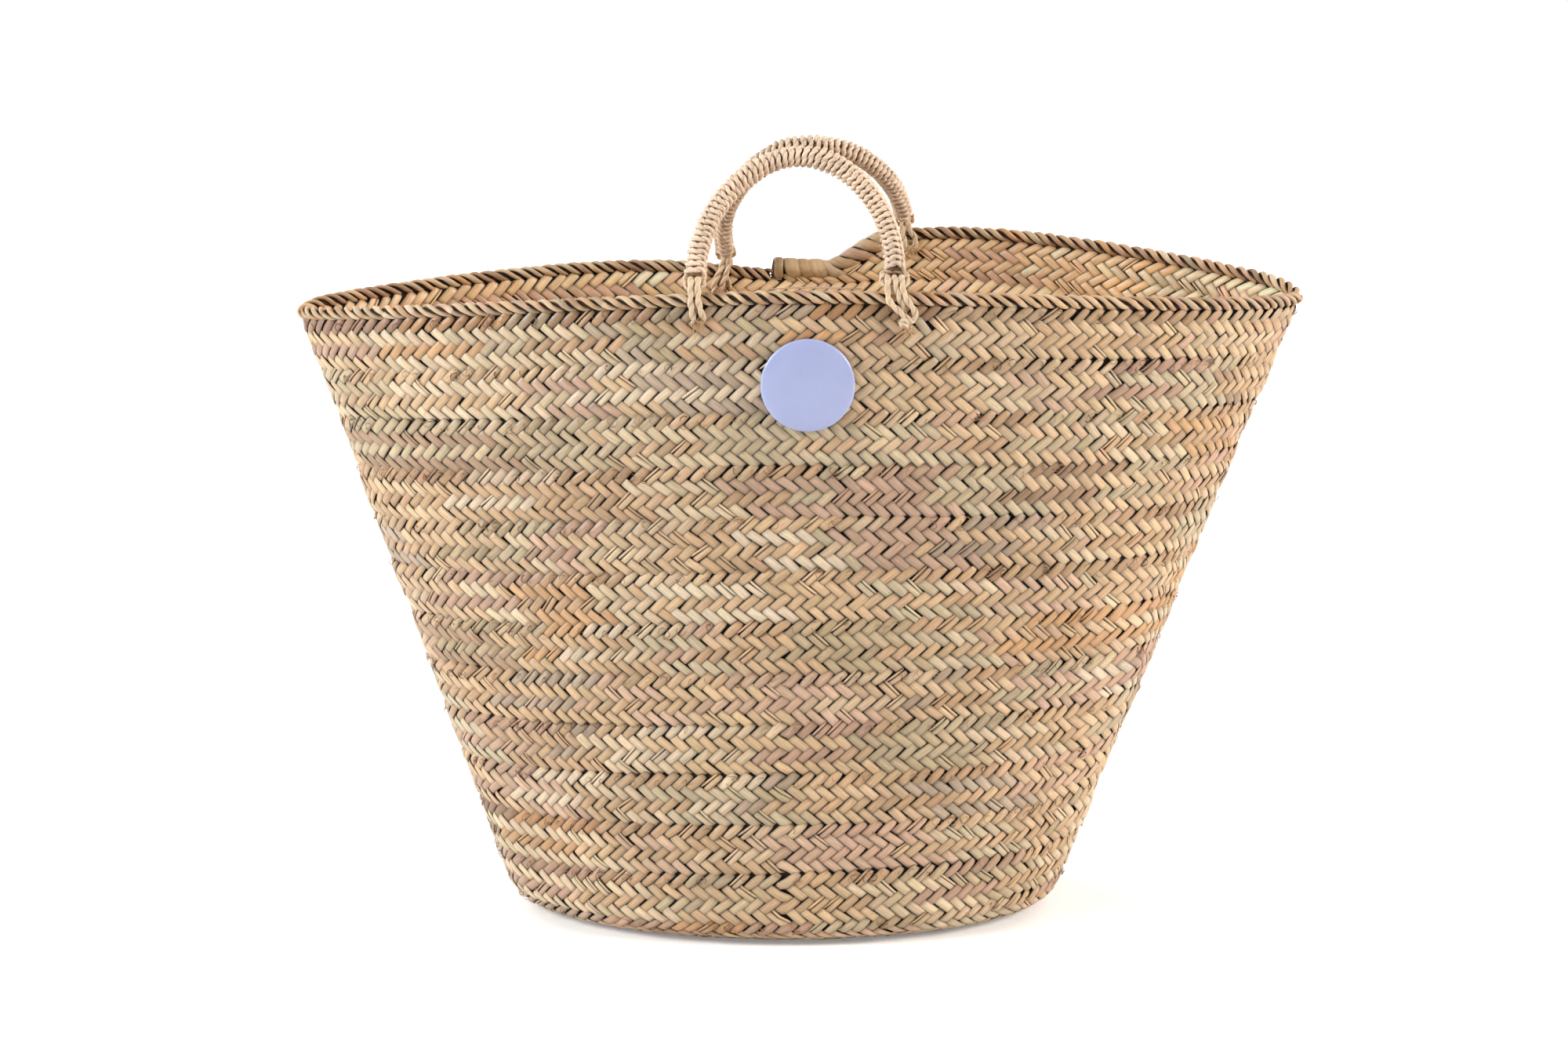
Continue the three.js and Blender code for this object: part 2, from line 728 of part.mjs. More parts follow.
const basket = new THREE.Group();
basket.add(
  mesh('base_braid', baseBraid(), palm()),
  mesh('wall_braid', wallBraid(), palm()),
  mesh('rim_edging', rimEdging(), palmEdge()),
  mesh('tail_binding', tailBinding(), palm()),
);

const badge = badgeFrame();
badge.add(
  mesh('badge_shell', badgeShell(), badgeFilm()),
  mesh('badge_back', badgeBack(), tinplate()),
  mesh('badge_pin', badgePin(), tinplate()),
);
basket.add(badge);

for (const [side, place] of Object.entries(places)) {
  const frame = handleFrame(place);
  frame.add(
    mesh(`${side}_handle_core`, handleCore(place), ropeCore()),
    mesh(`${side}_handle_winding`, handleWinding(place, `${side}_handle_winding`), sisal()),
  );
  basket.add(frame);
  ['left', 'right'].forEach((hand, end) => {
    const name = `${side}_${hand}_lacing`;
    const knotted = side === 'front' && hand === 'right';
    const cord = knotted ? knottedLacing(place, end, name) : lacingLoops(place, end, name);
    basket.add(mesh(name, cord, sisal()));
  });
}

// The origin is at the middle of the basket's outer box, on the surface it stands on.
const outerBox = new THREE.Box3().setFromObject(basket, true);
const middle = outerBox.getCenter(new THREE.Vector3());
basket.position.set(-middle.x, -middle.y, -outerBox.min.z);

export default basket;
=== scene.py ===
import math

import bpy
import numpy as np
from mathutils import Matrix, Vector


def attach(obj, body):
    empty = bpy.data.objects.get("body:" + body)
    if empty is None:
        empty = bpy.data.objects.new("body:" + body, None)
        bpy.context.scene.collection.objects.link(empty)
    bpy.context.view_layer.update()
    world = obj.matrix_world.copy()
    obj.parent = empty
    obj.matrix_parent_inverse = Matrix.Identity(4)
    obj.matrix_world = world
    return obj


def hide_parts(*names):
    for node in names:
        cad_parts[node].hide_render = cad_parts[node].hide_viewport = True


# Straw market basket: a plaited palm band coiled and sewn into base and wall, a twisted
# rim edging, two cord-wound handles laced to the rim, and a bare round pin badge.
# Lengths are in millimetres until newMesh scales them to metres. Angles in the dictionaries
# are in degrees.

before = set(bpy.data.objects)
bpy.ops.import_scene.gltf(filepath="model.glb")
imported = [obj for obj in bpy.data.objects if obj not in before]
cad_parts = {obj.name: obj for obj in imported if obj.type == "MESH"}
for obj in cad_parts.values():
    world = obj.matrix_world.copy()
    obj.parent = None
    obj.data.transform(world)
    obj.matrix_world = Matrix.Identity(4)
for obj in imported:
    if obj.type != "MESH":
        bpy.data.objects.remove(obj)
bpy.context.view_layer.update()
rng = np.random.default_rng(2411)
mm = 0.001
up = np.array([0.0, 0.0, 1.0])


# A dictionary whose values are also read as attributes
class Values(dict):
    __getattr__ = dict.__getitem__


basket = Values(
    bandWidth=33.6,
    bandThickness=3.6,
    courseBulge=1.2,
    wallCourses=12,
    baseCourses=3.5,
    baseHalfLength=180,
    baseHalfDepth=115,
    baseRoundness=0.88,
    mouthHalfLength=323,
    mouthHalfDepth=125,
    mouthPointedness=1.35,
    edgeRounding=20,
    endDrop=23,
    endDropPower=1.6,
    mouthShift=6.5,
    rearLift=4.9,
    rearDip=13.8,
    rearDipX=7.7,
    rearDipWidth=80,
    twist=2.6,
    highestRise=1.1,
    taperLength=66,
    taperBoundLength=36,
    taperFall=20.5,
    taperPower=1.6,
    tailNarrowing=6,
    tailNarrowingTurns=0.6,
    edgingRadius=4.5,
    seat=0.3,
    centre=(-2.498, 1.026, 0.0),
)
wallHeight = basket.bandWidth * (basket.wallCourses + 0.5)


def lerp(a, b, t):
    return a + (b - a) * t


def smooth(t):
    t = np.clip(t, 0, 1)
    return t * t * (3 - 2 * t)


def unit(v):
    return v / np.maximum(np.linalg.norm(v, axis=-1, keepdims=True), 1e-9)


# The basket's surface, by turns round from the middle of the rear and courses above the base

def profileAt(courses):
    b = basket
    r = b.edgeRounding
    run = np.where(courses > 0, courses * b.bandWidth, courses * b.baseHalfDepth / b.baseCourses)
    inward = np.where(run < -r, run, np.where(run > r, 0, -((r - run) ** 2) / (4 * r)))
    height = np.where(run < -r, 0, np.where(run > r, run, (r + run) ** 2 / (4 * r)))
    return inward, height


def surfaceAt(turns, courses):
    b = basket
    inward, height = profileAt(courses)
    rise = np.clip(height / wallHeight, 0, b.highestRise)
    angle = math.pi / 2 + 2 * math.pi * turns + math.radians(b.twist) * rise
    halfLength = lerp(b.baseHalfLength, b.mouthHalfLength, rise) + inward
    halfDepth = lerp(b.baseHalfDepth, b.mouthHalfDepth, rise) + inward
    power = lerp(b.baseRoundness, b.mouthPointedness, np.clip(rise, 0, 1))
    cosine = np.cos(angle)
    sine = np.sin(angle)
    x = halfLength * cosine - b.mouthShift * (1 - rise)
    y = halfDepth * np.sign(sine) * np.abs(sine) ** power
    z = height * (1 - b.endDrop / wallHeight * np.abs(cosine) ** b.endDropPower)
    dip = b.rearDip * np.exp(-(((x - b.rearDipX) / b.rearDipWidth) ** 2))
    z = z + (b.rearLift - dip) * smooth((sine + 0.1) / 0.4) * rise ** 4
    return np.stack([x, y, z], -1) + np.array(b.centre)


def outwardAt(turns, courses):
    around = surfaceAt(turns + 0.006, courses) - surfaceAt(turns - 0.006, courses)
    upward = surfaceAt(turns, courses + 0.05) - surfaceAt(turns, courses - 0.05)
    flat = (profileAt(courses)[1] == 0)[..., None]
    return np.where(flat, -up, unit(np.cross(around, upward)))


def narrowedAt(turns):
    b = basket
    share = smooth((turns - b.wallCourses - 1) / b.tailNarrowingTurns + 1)
    return b.tailNarrowing / b.bandWidth * share


# The rim line: the middle of the wall's free edge, which falls along the tapered tail

tailEndX = surfaceAt(np.array(1.0), np.array(13.0))[0]
taperStartX = tailEndX + basket.taperBoundLength + basket.taperLength


def tailFall(x):
    share = np.clip((taperStartX - x) / basket.taperLength, 0, 1) ** basket.taperPower
    return basket.taperFall * (0.5 - 0.5 * np.cos(math.pi * share))


def rimEdgeAt(turns):
    courses = basket.wallCourses + turns - narrowedAt(basket.wallCourses + turns)
    outward = outwardAt(turns, courses)
    point = surfaceAt(turns, courses) - outward * basket.bandThickness / 2
    point[..., 2] -= np.where(turns > 0.7, tailFall(point[..., 0]), 0)
    return point, outward


def rimFrame(turns):
    point, outward = rimEdgeAt(turns)
    along = unit(rimEdgeAt(turns + 0.001)[0] - rimEdgeAt(turns - 0.001)[0])
    lift = unit(np.cross(outward, along))
    centre = point + lift * (basket.edgingRadius + basket.seat)
    return centre, along, lift, np.cross(along, lift)


# Stretches of the rim, in turns: the front, the tail and the two halves of the rear
frontSpan = (0.3, 0.7)
tailSpan = (0.9, 0.9995)
rearSpans = ((0.001, 0.25), (0.75, 0.999))


# The turns at which a stretch of the rim passes an x
def rimTurnsAt(x, start, stop):
    turns = np.linspace(start, stop, 2000)
    across = rimFrame(turns)[0][:, 0]
    order = np.argsort(across)
    return np.interp(x, across[order], turns[order])


# Meshes

def newMesh(name, points, quads, finish, tint=None, strip=None, atlas=None, caps=None):
    groups = [quads] if caps is None else [quads, caps]
    loops = np.concatenate([g.ravel() for g in groups]).astype(np.int32)
    sizes = np.concatenate([np.full(len(g), g.shape[1]) for g in groups])
    starts = np.concatenate([[0], np.cumsum(sizes)[:-1]]).astype(np.int32)
    mesh = bpy.data.meshes.new(name)
    mesh.vertices.add(len(points))
    mesh.vertices.foreach_set("co", (points * mm).astype(np.float32).ravel())
    mesh.loops.add(len(loops))
    mesh.loops.foreach_set("vertex_index", loops)
    mesh.polygons.add(len(sizes))
    mesh.polygons.foreach_set("loop_start", starts)
    mesh.update(calc_edges=True)
    for label, values in (("strip", strip), ("OFBake", atlas)):
        if values is not None:
            layer = mesh.uv_layers.new(name=label)
            layer.data.foreach_set("uv", values.astype(np.float32).ravel())
    if tint is not None:
        colours = np.concatenate([tint, np.ones((len(tint), 1))], 1).astype(np.float32)
        layer = mesh.color_attributes.new("tint", "FLOAT_COLOR", "POINT")
        layer.data.foreach_set("color", colours.ravel())
    mesh.shade_smooth()
    mesh.set_sharp_from_angle(angle=math.radians(50))
    obj = bpy.data.objects.new(name, mesh)
    bpy.context.scene.collection.objects.link(obj)
    mesh.materials.append(finish)
    return obj


# Skins round many equal strips at once. grids has one row of stations for each strip and
# one closed section at each station: (strips, stations, sides, 3). A long strip's atlas is
# cut into cells of perCell stations. The piece rides on a body, and stands for CAD nodes.
def addPiece(name, body, slot, finish, grids, along, around, tint, *nodes, perCell=None):
    count, stations, sides = grids.shape[:3]
    offset = np.arange(count)[:, None, None] * stations * sides
    i, j = (a.ravel() for a in np.meshgrid(np.arange(stations - 1), np.arange(sides), indexing="ij"))
    quadI = np.stack([i, i + 1, i + 1, i], -1)
    quadJ = np.stack([j, j, j + 1, j + 1], -1)
    quads = (quadI * sides + quadJ % sides + offset).reshape(-1, 4)
    k = np.arange(1, sides - 1)
    capI = np.repeat([0, stations - 1], len(k))[:, None] + np.zeros((1, 3), int)
    capJ = np.concatenate([np.stack([0 * k, k, k + 1], -1), np.stack([0 * k, k + 1, k], -1)])
    caps = (capI * sides + capJ + offset).reshape(-1, 3)
    capMove = np.where(capI == 0, -0.3, 0.3) * (capJ > 0)
    perCell = perCell or stations - 1
    cellsEach = -(-(stations - 1) // perCell)
    wide = math.ceil(math.sqrt(count * cellsEach))

    def corners(ci, cj, cellOf, move=0.0):
        cell = np.arange(count)[:, None, None] * cellsEach + cellOf
        u = (ci - cellOf * perCell + move + 0.5) / (perCell + 1)
        v = (cj + 0.25) / (sides + 0.5)
        atlas = np.stack([(cell % wide + u) / wide, (cell // wide + v) / wide], -1)
        across = around[:, cj] if around.ndim == 2 else np.broadcast_to(around[cj], (count, *cj.shape))
        return np.stack([along[:, ci], across], -1).reshape(-1, 2), atlas.reshape(-1, 2)

    quadCell = np.broadcast_to((i // perCell)[:, None], quadI.shape)
    capCell = np.minimum(capI, stations - 2) // perCell
    parts = corners(quadI, quadJ, quadCell), corners(capI, capJ, capCell, capMove)
    strip, atlas = (np.concatenate(part) for part in zip(*parts))
    shades = np.broadcast_to(tint, grids.shape).reshape(-1, 3)
    obj = newMesh(name, grids.reshape(-1, 3), quads, finish, shades, strip, atlas, caps)
    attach(obj, body)
    if nodes:
        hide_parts(*nodes)
    return obj


def colour(red, green, blue):
    values = np.array([red, green, blue]) / 255
    return np.where(values > 0.04045, ((values + 0.055) / 1.055) ** 2.4, values / 12.92)


# Finishes

def newMaterial(name, settings):
    material = bpy.data.materials.new(name)
    material.use_nodes = True
    shader = material.node_tree.nodes["Principled BSDF"]
    for label, value in settings.items():
        shader.inputs[label].default_value = value
    return material, material.node_tree, shader


def newNode(tree, kind, **settings):
    node = tree.nodes.new("ShaderNode" + kind)
    for label, value in settings.items():
        if hasattr(node, label):
            setattr(node, label, value)
        else:
            node.inputs[label].default_value = value
    return node


def ranged(tree, source, low, high, start=0.0, stop=1.0, **settings):
    node = newNode(tree, "MapRange", **settings)
    for label, value in zip(("From Min", "From Max", "To Min", "To Max"), (start, stop, low, high)):
        node.inputs[label].default_value = value
    tree.links.new(source, node.inputs[0])
    return node.outputs[0]


def combined(tree, operation, first, second):
    node = newNode(tree, "Math", operation=operation)
    tree.links.new(first, node.inputs[0])
    tree.links.new(second, node.inputs[1])
    return node.outputs[0]


def noise(tree, source, scale, detail, stretch=None, roughness=0.5):
    if stretch:
        mapping = newNode(tree, "Mapping", Scale=stretch)
        tree.links.new(source, mapping.inputs[0])
        source = mapping.outputs[0]
    node = newNode(tree, "TexNoise", Scale=scale, Detail=detail, Roughness=roughness)
    tree.links.new(source, node.inputs["Vector"])
    return node.outputs[0]


def ramped(tree, source, tones):
    node = newNode(tree, "ValToRGB")
    for element, tone in zip(node.color_ramp.elements, tones):
        element.color = (*colour(*tone), 1)
    tree.links.new(source, node.inputs[0])
    return node.outputs[0]


def feedShader(tree, shader, base, rough, height, strength, depth):
    relief = newNode(tree, "Bump", Strength=strength, Distance=depth * mm)
    tree.links.new(height, relief.inputs["Height"])
    tree.links.new(base, shader.inputs["Base Color"])
    tree.links.new(rough, shader.inputs["Roughness"])
    tree.links.new(relief.outputs[0], shader.inputs["Normal"])


# Palm leaf and cord: the piece's own tint, streaked along its strips and mottled across the basket
def fibreFinish(name, streaks, roughness, mottle, relief, sheen=0.0, shades=(0.72, 1.14)):
    material, tree, shader = newMaterial(name, {"Sheen Weight": sheen})
    tint = newNode(tree, "Attribute", attribute_name="tint").outputs["Color"]
    strips = newNode(tree, "UVMap", uv_map="strip").outputs[0]
    place = newNode(tree, "TexCoord").outputs["Object"]
    fine = noise(tree, strips, 1.0, 4.0, (streaks[0], streaks[1], 1), 0.65)
    broad = noise(tree, strips, 1.0, 2.0, (streaks[0] * 0.5, streaks[1] * 0.28, 1))
    spots = noise(tree, place, mottle, 3.0)
    level = ranged(tree, fine, *shades, 0.28, 0.7)
    for source, darkest, lightest in ((broad, 0.86, 1.1), (spots, 0.9, 1.07)):
        level = combined(tree, "MULTIPLY", level, ranged(tree, source, darkest, lightest, 0.3, 0.7))
    shaded = newNode(tree, "VectorMath", operation="SCALE")
    tree.links.new(tint, shaded.inputs[0])
    tree.links.new(level, shaded.inputs["Scale"])
    gloss = ranged(tree, broad, roughness - 0.12, roughness + 0.14)
    feedShader(tree, shader, shaded.outputs[0], gloss, fine, 0.6, relief)
    return material


def filmFinish():
    material, tree, shader = newMaterial("badgeFilm", {"Coat Weight": 0.4, "Coat Roughness": 0.12})
    place = newNode(tree, "TexCoord").outputs["Object"]
    base = ramped(tree, noise(tree, place, 60.0, 3.0), ((167, 177, 220), (177, 187, 229)))
    specks = noise(tree, place, 1500.0, 2.0)
    feedShader(tree, shader, base, ranged(tree, specks, 0.22, 0.36), specks, 0.12, 0.05)
    return material


def tinFinish():
    material, tree, shader = newMaterial("tinPlate", {"Metallic": 1.0})
    place = newNode(tree, "TexCoord").outputs["Object"]
    grain = noise(tree, place, 1.0, 3.0, (200, 200, 4000))
    base = ramped(tree, grain, ((165, 168, 172), (205, 207, 210)))
    feedShader(tree, shader, base, ranged(tree, grain, 0.25, 0.45), grain, 0.2, 0.03)
    return material


palm = fibreFinish("palmLeaf", (0.12, 2.6), roughness=0.37, mottle=30, relief=0.18, shades=(0.7, 1.16))
palmEdge = fibreFinish("palmEdging", (0.12, 2.4), roughness=0.6, mottle=30, relief=0.18)
innerPalm = fibreFinish("palmCore", (0.1, 1.5), roughness=0.8, mottle=40, relief=0.2)
sisal = fibreFinish("sisalCord", (0.22, 3.0), 0.75, mottle=60, relief=0.22, sheen=0.15, shades=(0.8, 1.1))
film = filmFinish()
tin = tinFinish()

# Camera and stage

view = Values(
    place=(-9.66, -1999.18, 716.85),
    pitchDown=13.01,
    roll=0.23,
    lens=71.42,
    sensor=36,
    farthest=100,
)
cameraData = bpy.data.cameras.new("camera")
cameraData.lens = view.lens
cameraData.sensor_width = view.sensor
cameraData.clip_end = view.farthest
camera = bpy.data.objects.new("camera", cameraData)
bpy.context.scene.collection.objects.link(camera)
tipped = Matrix.Rotation(math.radians(90 - view.pitchDown), 4, "X")
rolled = Matrix.Rotation(math.radians(view.roll), 4, "Z")
camera.matrix_world = Matrix.Translation(Vector(view.place) * mm) @ (tipped @ rolled)
bpy.context.scene.camera = camera
bpy.context.scene.view_settings.view_transform = "Standard"

studio = Values(
    floorHalf=30000,
    floorTone=0.9,
    nearGlow=0.22,
    farGlow=0.9,
    glowFrom=0.5,
    glowTo=2.6,
    sky=0.14,
    aim=(0, 0, 220),
    lamps={
        "left": ((-2600, -850, 1500), 1.2, 73, (0.96, 0.985, 1)),
        "right": ((2600, -700, 1500), 1.2, 73, (1, 0.93, 0.86)),
        "high": ((-1900, -1300, 2300), 1.4, 18, (1, 0.96, 0.92)),
        "fill": ((1900, -1300, 2300), 1.4, 10, (1, 0.96, 0.92)),
        "rearLeft": ((-1900, 2200, 1900), 1.8, 46, (1, 0.99, 0.97)),
        "rearRight": ((2000, 2000, 1700), 1.8, 40, (1, 0.98, 0.96)),
    },
)


# The floor catches the shadow and glows white farther out, to the camera only
def makeFloor():
    s = studio
    settings = {"Base Color": (s.floorTone,) * 3 + (1,), "Roughness": 0.9, "Specular IOR Level": 0.1}
    material, tree, shader = newMaterial("studioFloor", settings)
    shader.inputs["Emission Color"].default_value = (1, 1, 1, 1)
    away = newNode(tree, "VectorMath", operation="LENGTH")
    tree.links.new(newNode(tree, "TexCoord").outputs["Object"], away.inputs[0])
    ends = (s.nearGlow, s.farGlow, s.glowFrom, s.glowTo)
    far = ranged(tree, away.outputs["Value"], *ends, interpolation_type="SMOOTHSTEP")
    glow = combined(tree, "MULTIPLY", newNode(tree, "LightPath").outputs["Is Camera Ray"], far)
    tree.links.new(glow, shader.inputs["Emission Strength"])
    corners = np.array([[-1, -1, 0], [1, -1, 0], [1, 1, 0], [-1, 1, 0]], float) * s.floorHalf
    newMesh("floor", corners, np.array([[0, 1, 2, 3]]), material)


def makeSky():
    world = bpy.data.worlds.new("studio")
    world.use_nodes = True
    tree = world.node_tree
    rays = newNode(tree, "LightPath").outputs
    either = combined(tree, "MAXIMUM", rays["Is Camera Ray"], rays["Is Transmission Ray"])
    background = tree.nodes["Background"]
    tree.links.new(ranged(tree, either, studio.sky, 1.0), background.inputs["Strength"])
    background.inputs["Color"].default_value = (1, 1, 1, 1)
    bpy.context.scene.world = world


def addLamp(name, place, size, watts, tone):
    data = bpy.data.lights.new(name, "AREA")
    data.shape = "DISK"
    data.size = size
    data.energy = watts
    data.color = tone
    lamp = bpy.data.objects.new(name, data)
    lamp.location = Vector(place) * mm
    aim = Vector(studio.aim) * mm - lamp.location
    lamp.rotation_mode = "QUATERNION"
    lamp.rotation_quaternion = aim.to_track_quat("-Z", "Y")
    bpy.context.scene.collection.objects.link(lamp)


makeFloor()
makeSky()
for name, settings in studio.lamps.items():
    addLamp(name, *settings)
print("stage and camera ready")

# The plait. Stitches are counted along the coiled band; a course has four rows of floats.
# The second of two values is a random spread round the first.

plait = Values(
    stitch=9.55,
    slipShare=0.55,
    slack=0.85,
    columns=720,
    columnStep=0.05,
    columnBlur=10,
    blurReach=30,
    lastCourse=13.3,
    coreEnds=(-3.42, 12.98, 12.998),
    endTurn=12.9985,
    tailStart=12.7,
    tailCourse=11.6,
    tipSoftness=60,
    floatHeight=1.6,
    floatThickness=0.8,
    floatWidth=(0.96, 0.035),
    floatLength=(0.985, 0.03),
    floatTurn=(0, 2.6),
    floatTilt=(0, 0.22),
    floatLift=(0, 0.12),
    floatMove=(0, 0.03),
    knotWidth=0.96,
    knotHeight=1.12,
    knotLift=0.22,
    downLift=0.12,
    tailGap=2.5,
    floatBase=-1.15,
    floorLift=2.2,
    floorGap=0.15,
    dents=1.5,
    splitShare=0.11,
    toneSpread=0.92,
    # Painted shade: the very dark tone of the band's core, seen in the gaps between the floats
    gapTone=(42, 27, 17),
    sway=0.1,
)
tones = {
    "paleStraw": (218, 194, 160),
    "warmStraw": (214, 183, 145),
    "straw": (208, 176, 138),
    "tan": (199, 165, 128),
    "pink": (207, 173, 146),
    "rose": (193, 159, 135),
    "greyGreen": (200, 182, 150),
    "olive": (191, 169, 134),
    "orange": (210, 166, 120),
    "cream": (226, 206, 177),
    "brown": (172, 141, 112),
    "grey": (183, 162, 139),
}
toneShares = (0.16, 0.17, 0.18, 0.11, 0.09, 0.05, 0.07, 0.05, 0.04, 0.03, 0.03, 0.02)
toneTable = np.array([colour(*rgb) for rgb in tones.values()])


# Columns of stitches run square to the courses. Each column starts at its own place round
# the foot of the wall, and this is how far round it has strayed at a given course.
def columnDrift():
    step = plait.columnStep
    reach = plait.blurReach
    courses = np.arange(-basket.baseCourses, plait.lastCourse, step)
    starts = np.arange(plait.columns) / plait.columns
    foot = round(basket.baseCourses / step)
    drift = np.zeros((len(courses), len(starts)))

    def rate(turns, course):
        course = np.full_like(turns, course)
        ahead = (surfaceAt(turns + 0.002, course) - surfaceAt(turns - 0.002, course)) / 0.004
        climb = (surfaceAt(turns, course + 0.02) - surfaceAt(turns, course - 0.02)) / 0.04
        return -(ahead * climb).sum(-1) / ((ahead * ahead).sum(-1) + plait.tipSoftness ** 2)

    for way in (1, -1):
        turns = starts.copy()
        i = foot
        while 0 <= i + way < len(courses):
            halfway = turns + rate(turns, courses[i]) * way * step / 2
            moved = rate(halfway, courses[i] + way * step / 2) * way * step
            turns = np.maximum.accumulate(turns + np.clip(moved, -0.01, 0.01))
            i += way
            drift[i] = turns - starts
    kernel = np.exp(-0.5 * (np.arange(-reach, reach + 1) / plait.columnBlur) ** 2)
    kernel /= kernel.sum()
    wide = np.concatenate([drift[:, -reach:], drift, drift[:, :reach]], 1)
    return np.stack([np.convolve(row, kernel, "valid") for row in wide])


drift = columnDrift()


def coursesOn(turns, v):
    return np.maximum(turns - 1 + v * (1 - narrowedAt(turns)), -basket.baseCourses + 0.01)


# The turns and courses of a place on the band, v from its lower edge at 0 to its upper at 1
def placeOnBand(turns, v):
    columns = plait.columns
    courses = turns - 1 + v
    for k in range(3):
        x = (turns % 1) * columns
        y = np.clip((courses + basket.baseCourses) / plait.columnStep, 0, len(drift) - 1.001)
        i = np.floor(x).astype(int)
        j = np.floor(y).astype(int)
        low, high = (lerp(drift[j + n, i % columns], drift[j + n, (i + 1) % columns], x - i) for n in (0, 1))
        angle = turns + lerp(low, high, y - j)
        courses = angle - 1 + v * (1 - narrowedAt(angle))
    return angle, np.maximum(courses, -basket.baseCourses + 0.01)


def lengths(points):
    step = np.linalg.norm(np.diff(points, axis=-2), axis=-1)
    return np.concatenate([np.zeros((*step.shape[:-1], 1)), np.cumsum(step, -1)], -1)


# Stitches counted along the band. A course lines up with the one under it, except where a
# stitch is gained as the wall widens, mostly at its two ends.
def countStitches():
    steps = 1000
    turns = np.arange(-3.5 * steps, 13.15 * steps + 1) / steps
    middle = surfaceAt(*placeOnBand(turns, 0.5 + 0 * turns))
    target = lengths(middle) / plait.stitch
    perTurn = target[steps:] - target[:-steps]
    part = perTurn % 1
    stair = perTurn - part + smooth((part - 0.5) / plait.slipShare + 0.5)
    gained = (stair - perTurn) * smooth(turns[steps:] / 1.5)
    astray = target * round(target[steps]) / target[steps] - target
    for i in range(steps, len(turns)):
        astray[i] = plait.slack * astray[i - steps] + gained[i - steps]
    return turns, np.maximum.accumulate(target + astray + np.arange(len(turns)) * 1e-6)


bandTurns, bandStitches = countStitches()
lastStitch = float(np.interp(13.1, bandTurns, bandStitches))
print("stitches along the band:", round(lastStitch))


# Smooth unevenness between about -1 and 1, over stitch or length u and row
def waves(u, row, scale, seed):
    local = np.random.default_rng(seed)
    total = 0
    for k in range(5):
        fu, fr, phase = local.uniform(0.3, 1.4, 3) * (1, 1, 7)
        total = total + np.sin(u * fu / scale + row * fr / scale * 2 + phase)
    return total / 5


def onTail(turns, courses):
    return (turns > plait.tailStart) & (courses > plait.tailCourse)


# Keeps the band under the falling edge of its tail
def underEdge(point, turns, courses, above):
    roof = rimEdgeAt(turns % 1)[0][..., 2] + above
    point[..., 2] = np.where(onTail(turns, courses), np.minimum(point[..., 2], roof), point[..., 2])
    return point


# A point of the plait, from stitch u, row 0 to 4 of the band, and height above the face
def plaitPoint(u, row, height, inside):
    v = row / 4
    turns, courses = placeOnBand(np.interp(u, bandStitches, bandTurns), v)
    swell = basket.courseBulge * (1 - (2 * (v % 1) - 1) ** 4)
    floorShare = smooth((0.35 - courses) / 0.6)
    rimShare = smooth((12.1 - courses) / 1.2) * smooth(courses / 1.5)
    dent = plait.dents * waves(turns * 60, courses * 4, 4, 5) * rimShare
    if inside:
        lift = -basket.bandThickness - swell - plait.floatBase - height + dent
    else:
        lift = (swell + plait.floatBase) * (1 - floorShare) - plait.floorLift * floorShare
        lift = lift + height + dent
    point = surfaceAt(turns, courses) + outwardAt(turns, courses) * lift[..., None]
    point = underEdge(point, turns, courses, 0.5)
    if not inside:
        point[..., 2] = np.maximum(point[..., 2], plait.floorGap)
    return point


# The strips' own tones, in runs of one to eight strips of one tone
def runsOfTone(count):
    picks = []
    while len(picks) < count:
        length = rng.integers(1, 9)
        picks += [rng.choice(len(toneTable), p=toneShares)] * int(length)
    middle = np.array(toneShares) @ toneTable
    table = lerp(middle, toneTable[np.array(picks[:count])], plait.toneSpread)
    return table * rng.normal(1, 0.05, (count, 1)) * rng.normal(1, 0.012, (count, 3))


falling = runsOfTone(int(lastStitch) + 60)
rising = runsOfTone(int(lastStitch) + 60)

# One float: its stations from end to end, and its section of five points above and two below
stations = np.array([-1.16, -0.98, -0.68, 0.0, 0.68, 0.98, 1.16])
riseAlong = np.array([0.0, 0.58, 0.95, 1.0, 0.95, 0.58, 0.0])
narrowAlong = np.array([0.9, 0.98, 1.0, 1.0, 1.0, 0.98, 0.9])
ovalAlong = 1 - 0.2 * np.abs(stations) ** 2.4
# Painted shade towards each float's tucked ends, with a slight painted highlight in its middle
paintedEndShade = np.array([0.5, 0.87, 1.05, 1.07, 1.05, 0.87, 0.5])
section = np.array([-1.0, -0.66, 0.0, 0.66, 1.0, 0.9, -0.9])
sectionTop = 1 - 0.5 * np.abs(section) ** 3
sectionUnder = np.array([0, 0, 0, 0, 0, 1, 1.0])
sectionRun = np.array([-3.2, -2.0, 0, 2.0, 3.2, 4.0, 10.0, 10.8])
# Painted shade on each float's side edges and underside, with a slight painted highlight across its top
paintedEdgeShade = np.array([0.3, 0.94, 1.08, 1.05, 0.44, 0.3, 0.3])
patchTone = np.array([0.8, 0.75, 0.72])
# Painted shade: floats leaning up are darker than those leaning down
risingPaintedShade = (0.9, 0.87, 0.845)
# The inner face is lighter: partly its own paler tone, partly painted light where the lamps reach little
innerToneAndPaintedLight = (1.38, 1.37, 1.34)
# Painted shadow of the rope on the row of floats just under it
paintedRopeShadow = (0.8, 0.77, 0.74)
halfFloat = 6.7

# Whole floats, then the wide and the narrow half of each split one: the half's middle and
# width as shares of the float's, and its share of the random twist
wholeStrip = (0.0, 1.0, 0.0)
splitStrips = ((-0.32, 0.66, 0.6), (0.7, 0.28, -1.0))


def deep(values):
    return values[:, None, None]


def swung(way, angle):
    return way * np.cos(angle)[:, None] + np.stack([-way[:, 1], way[:, 0]], -1) * np.sin(angle)[:, None]


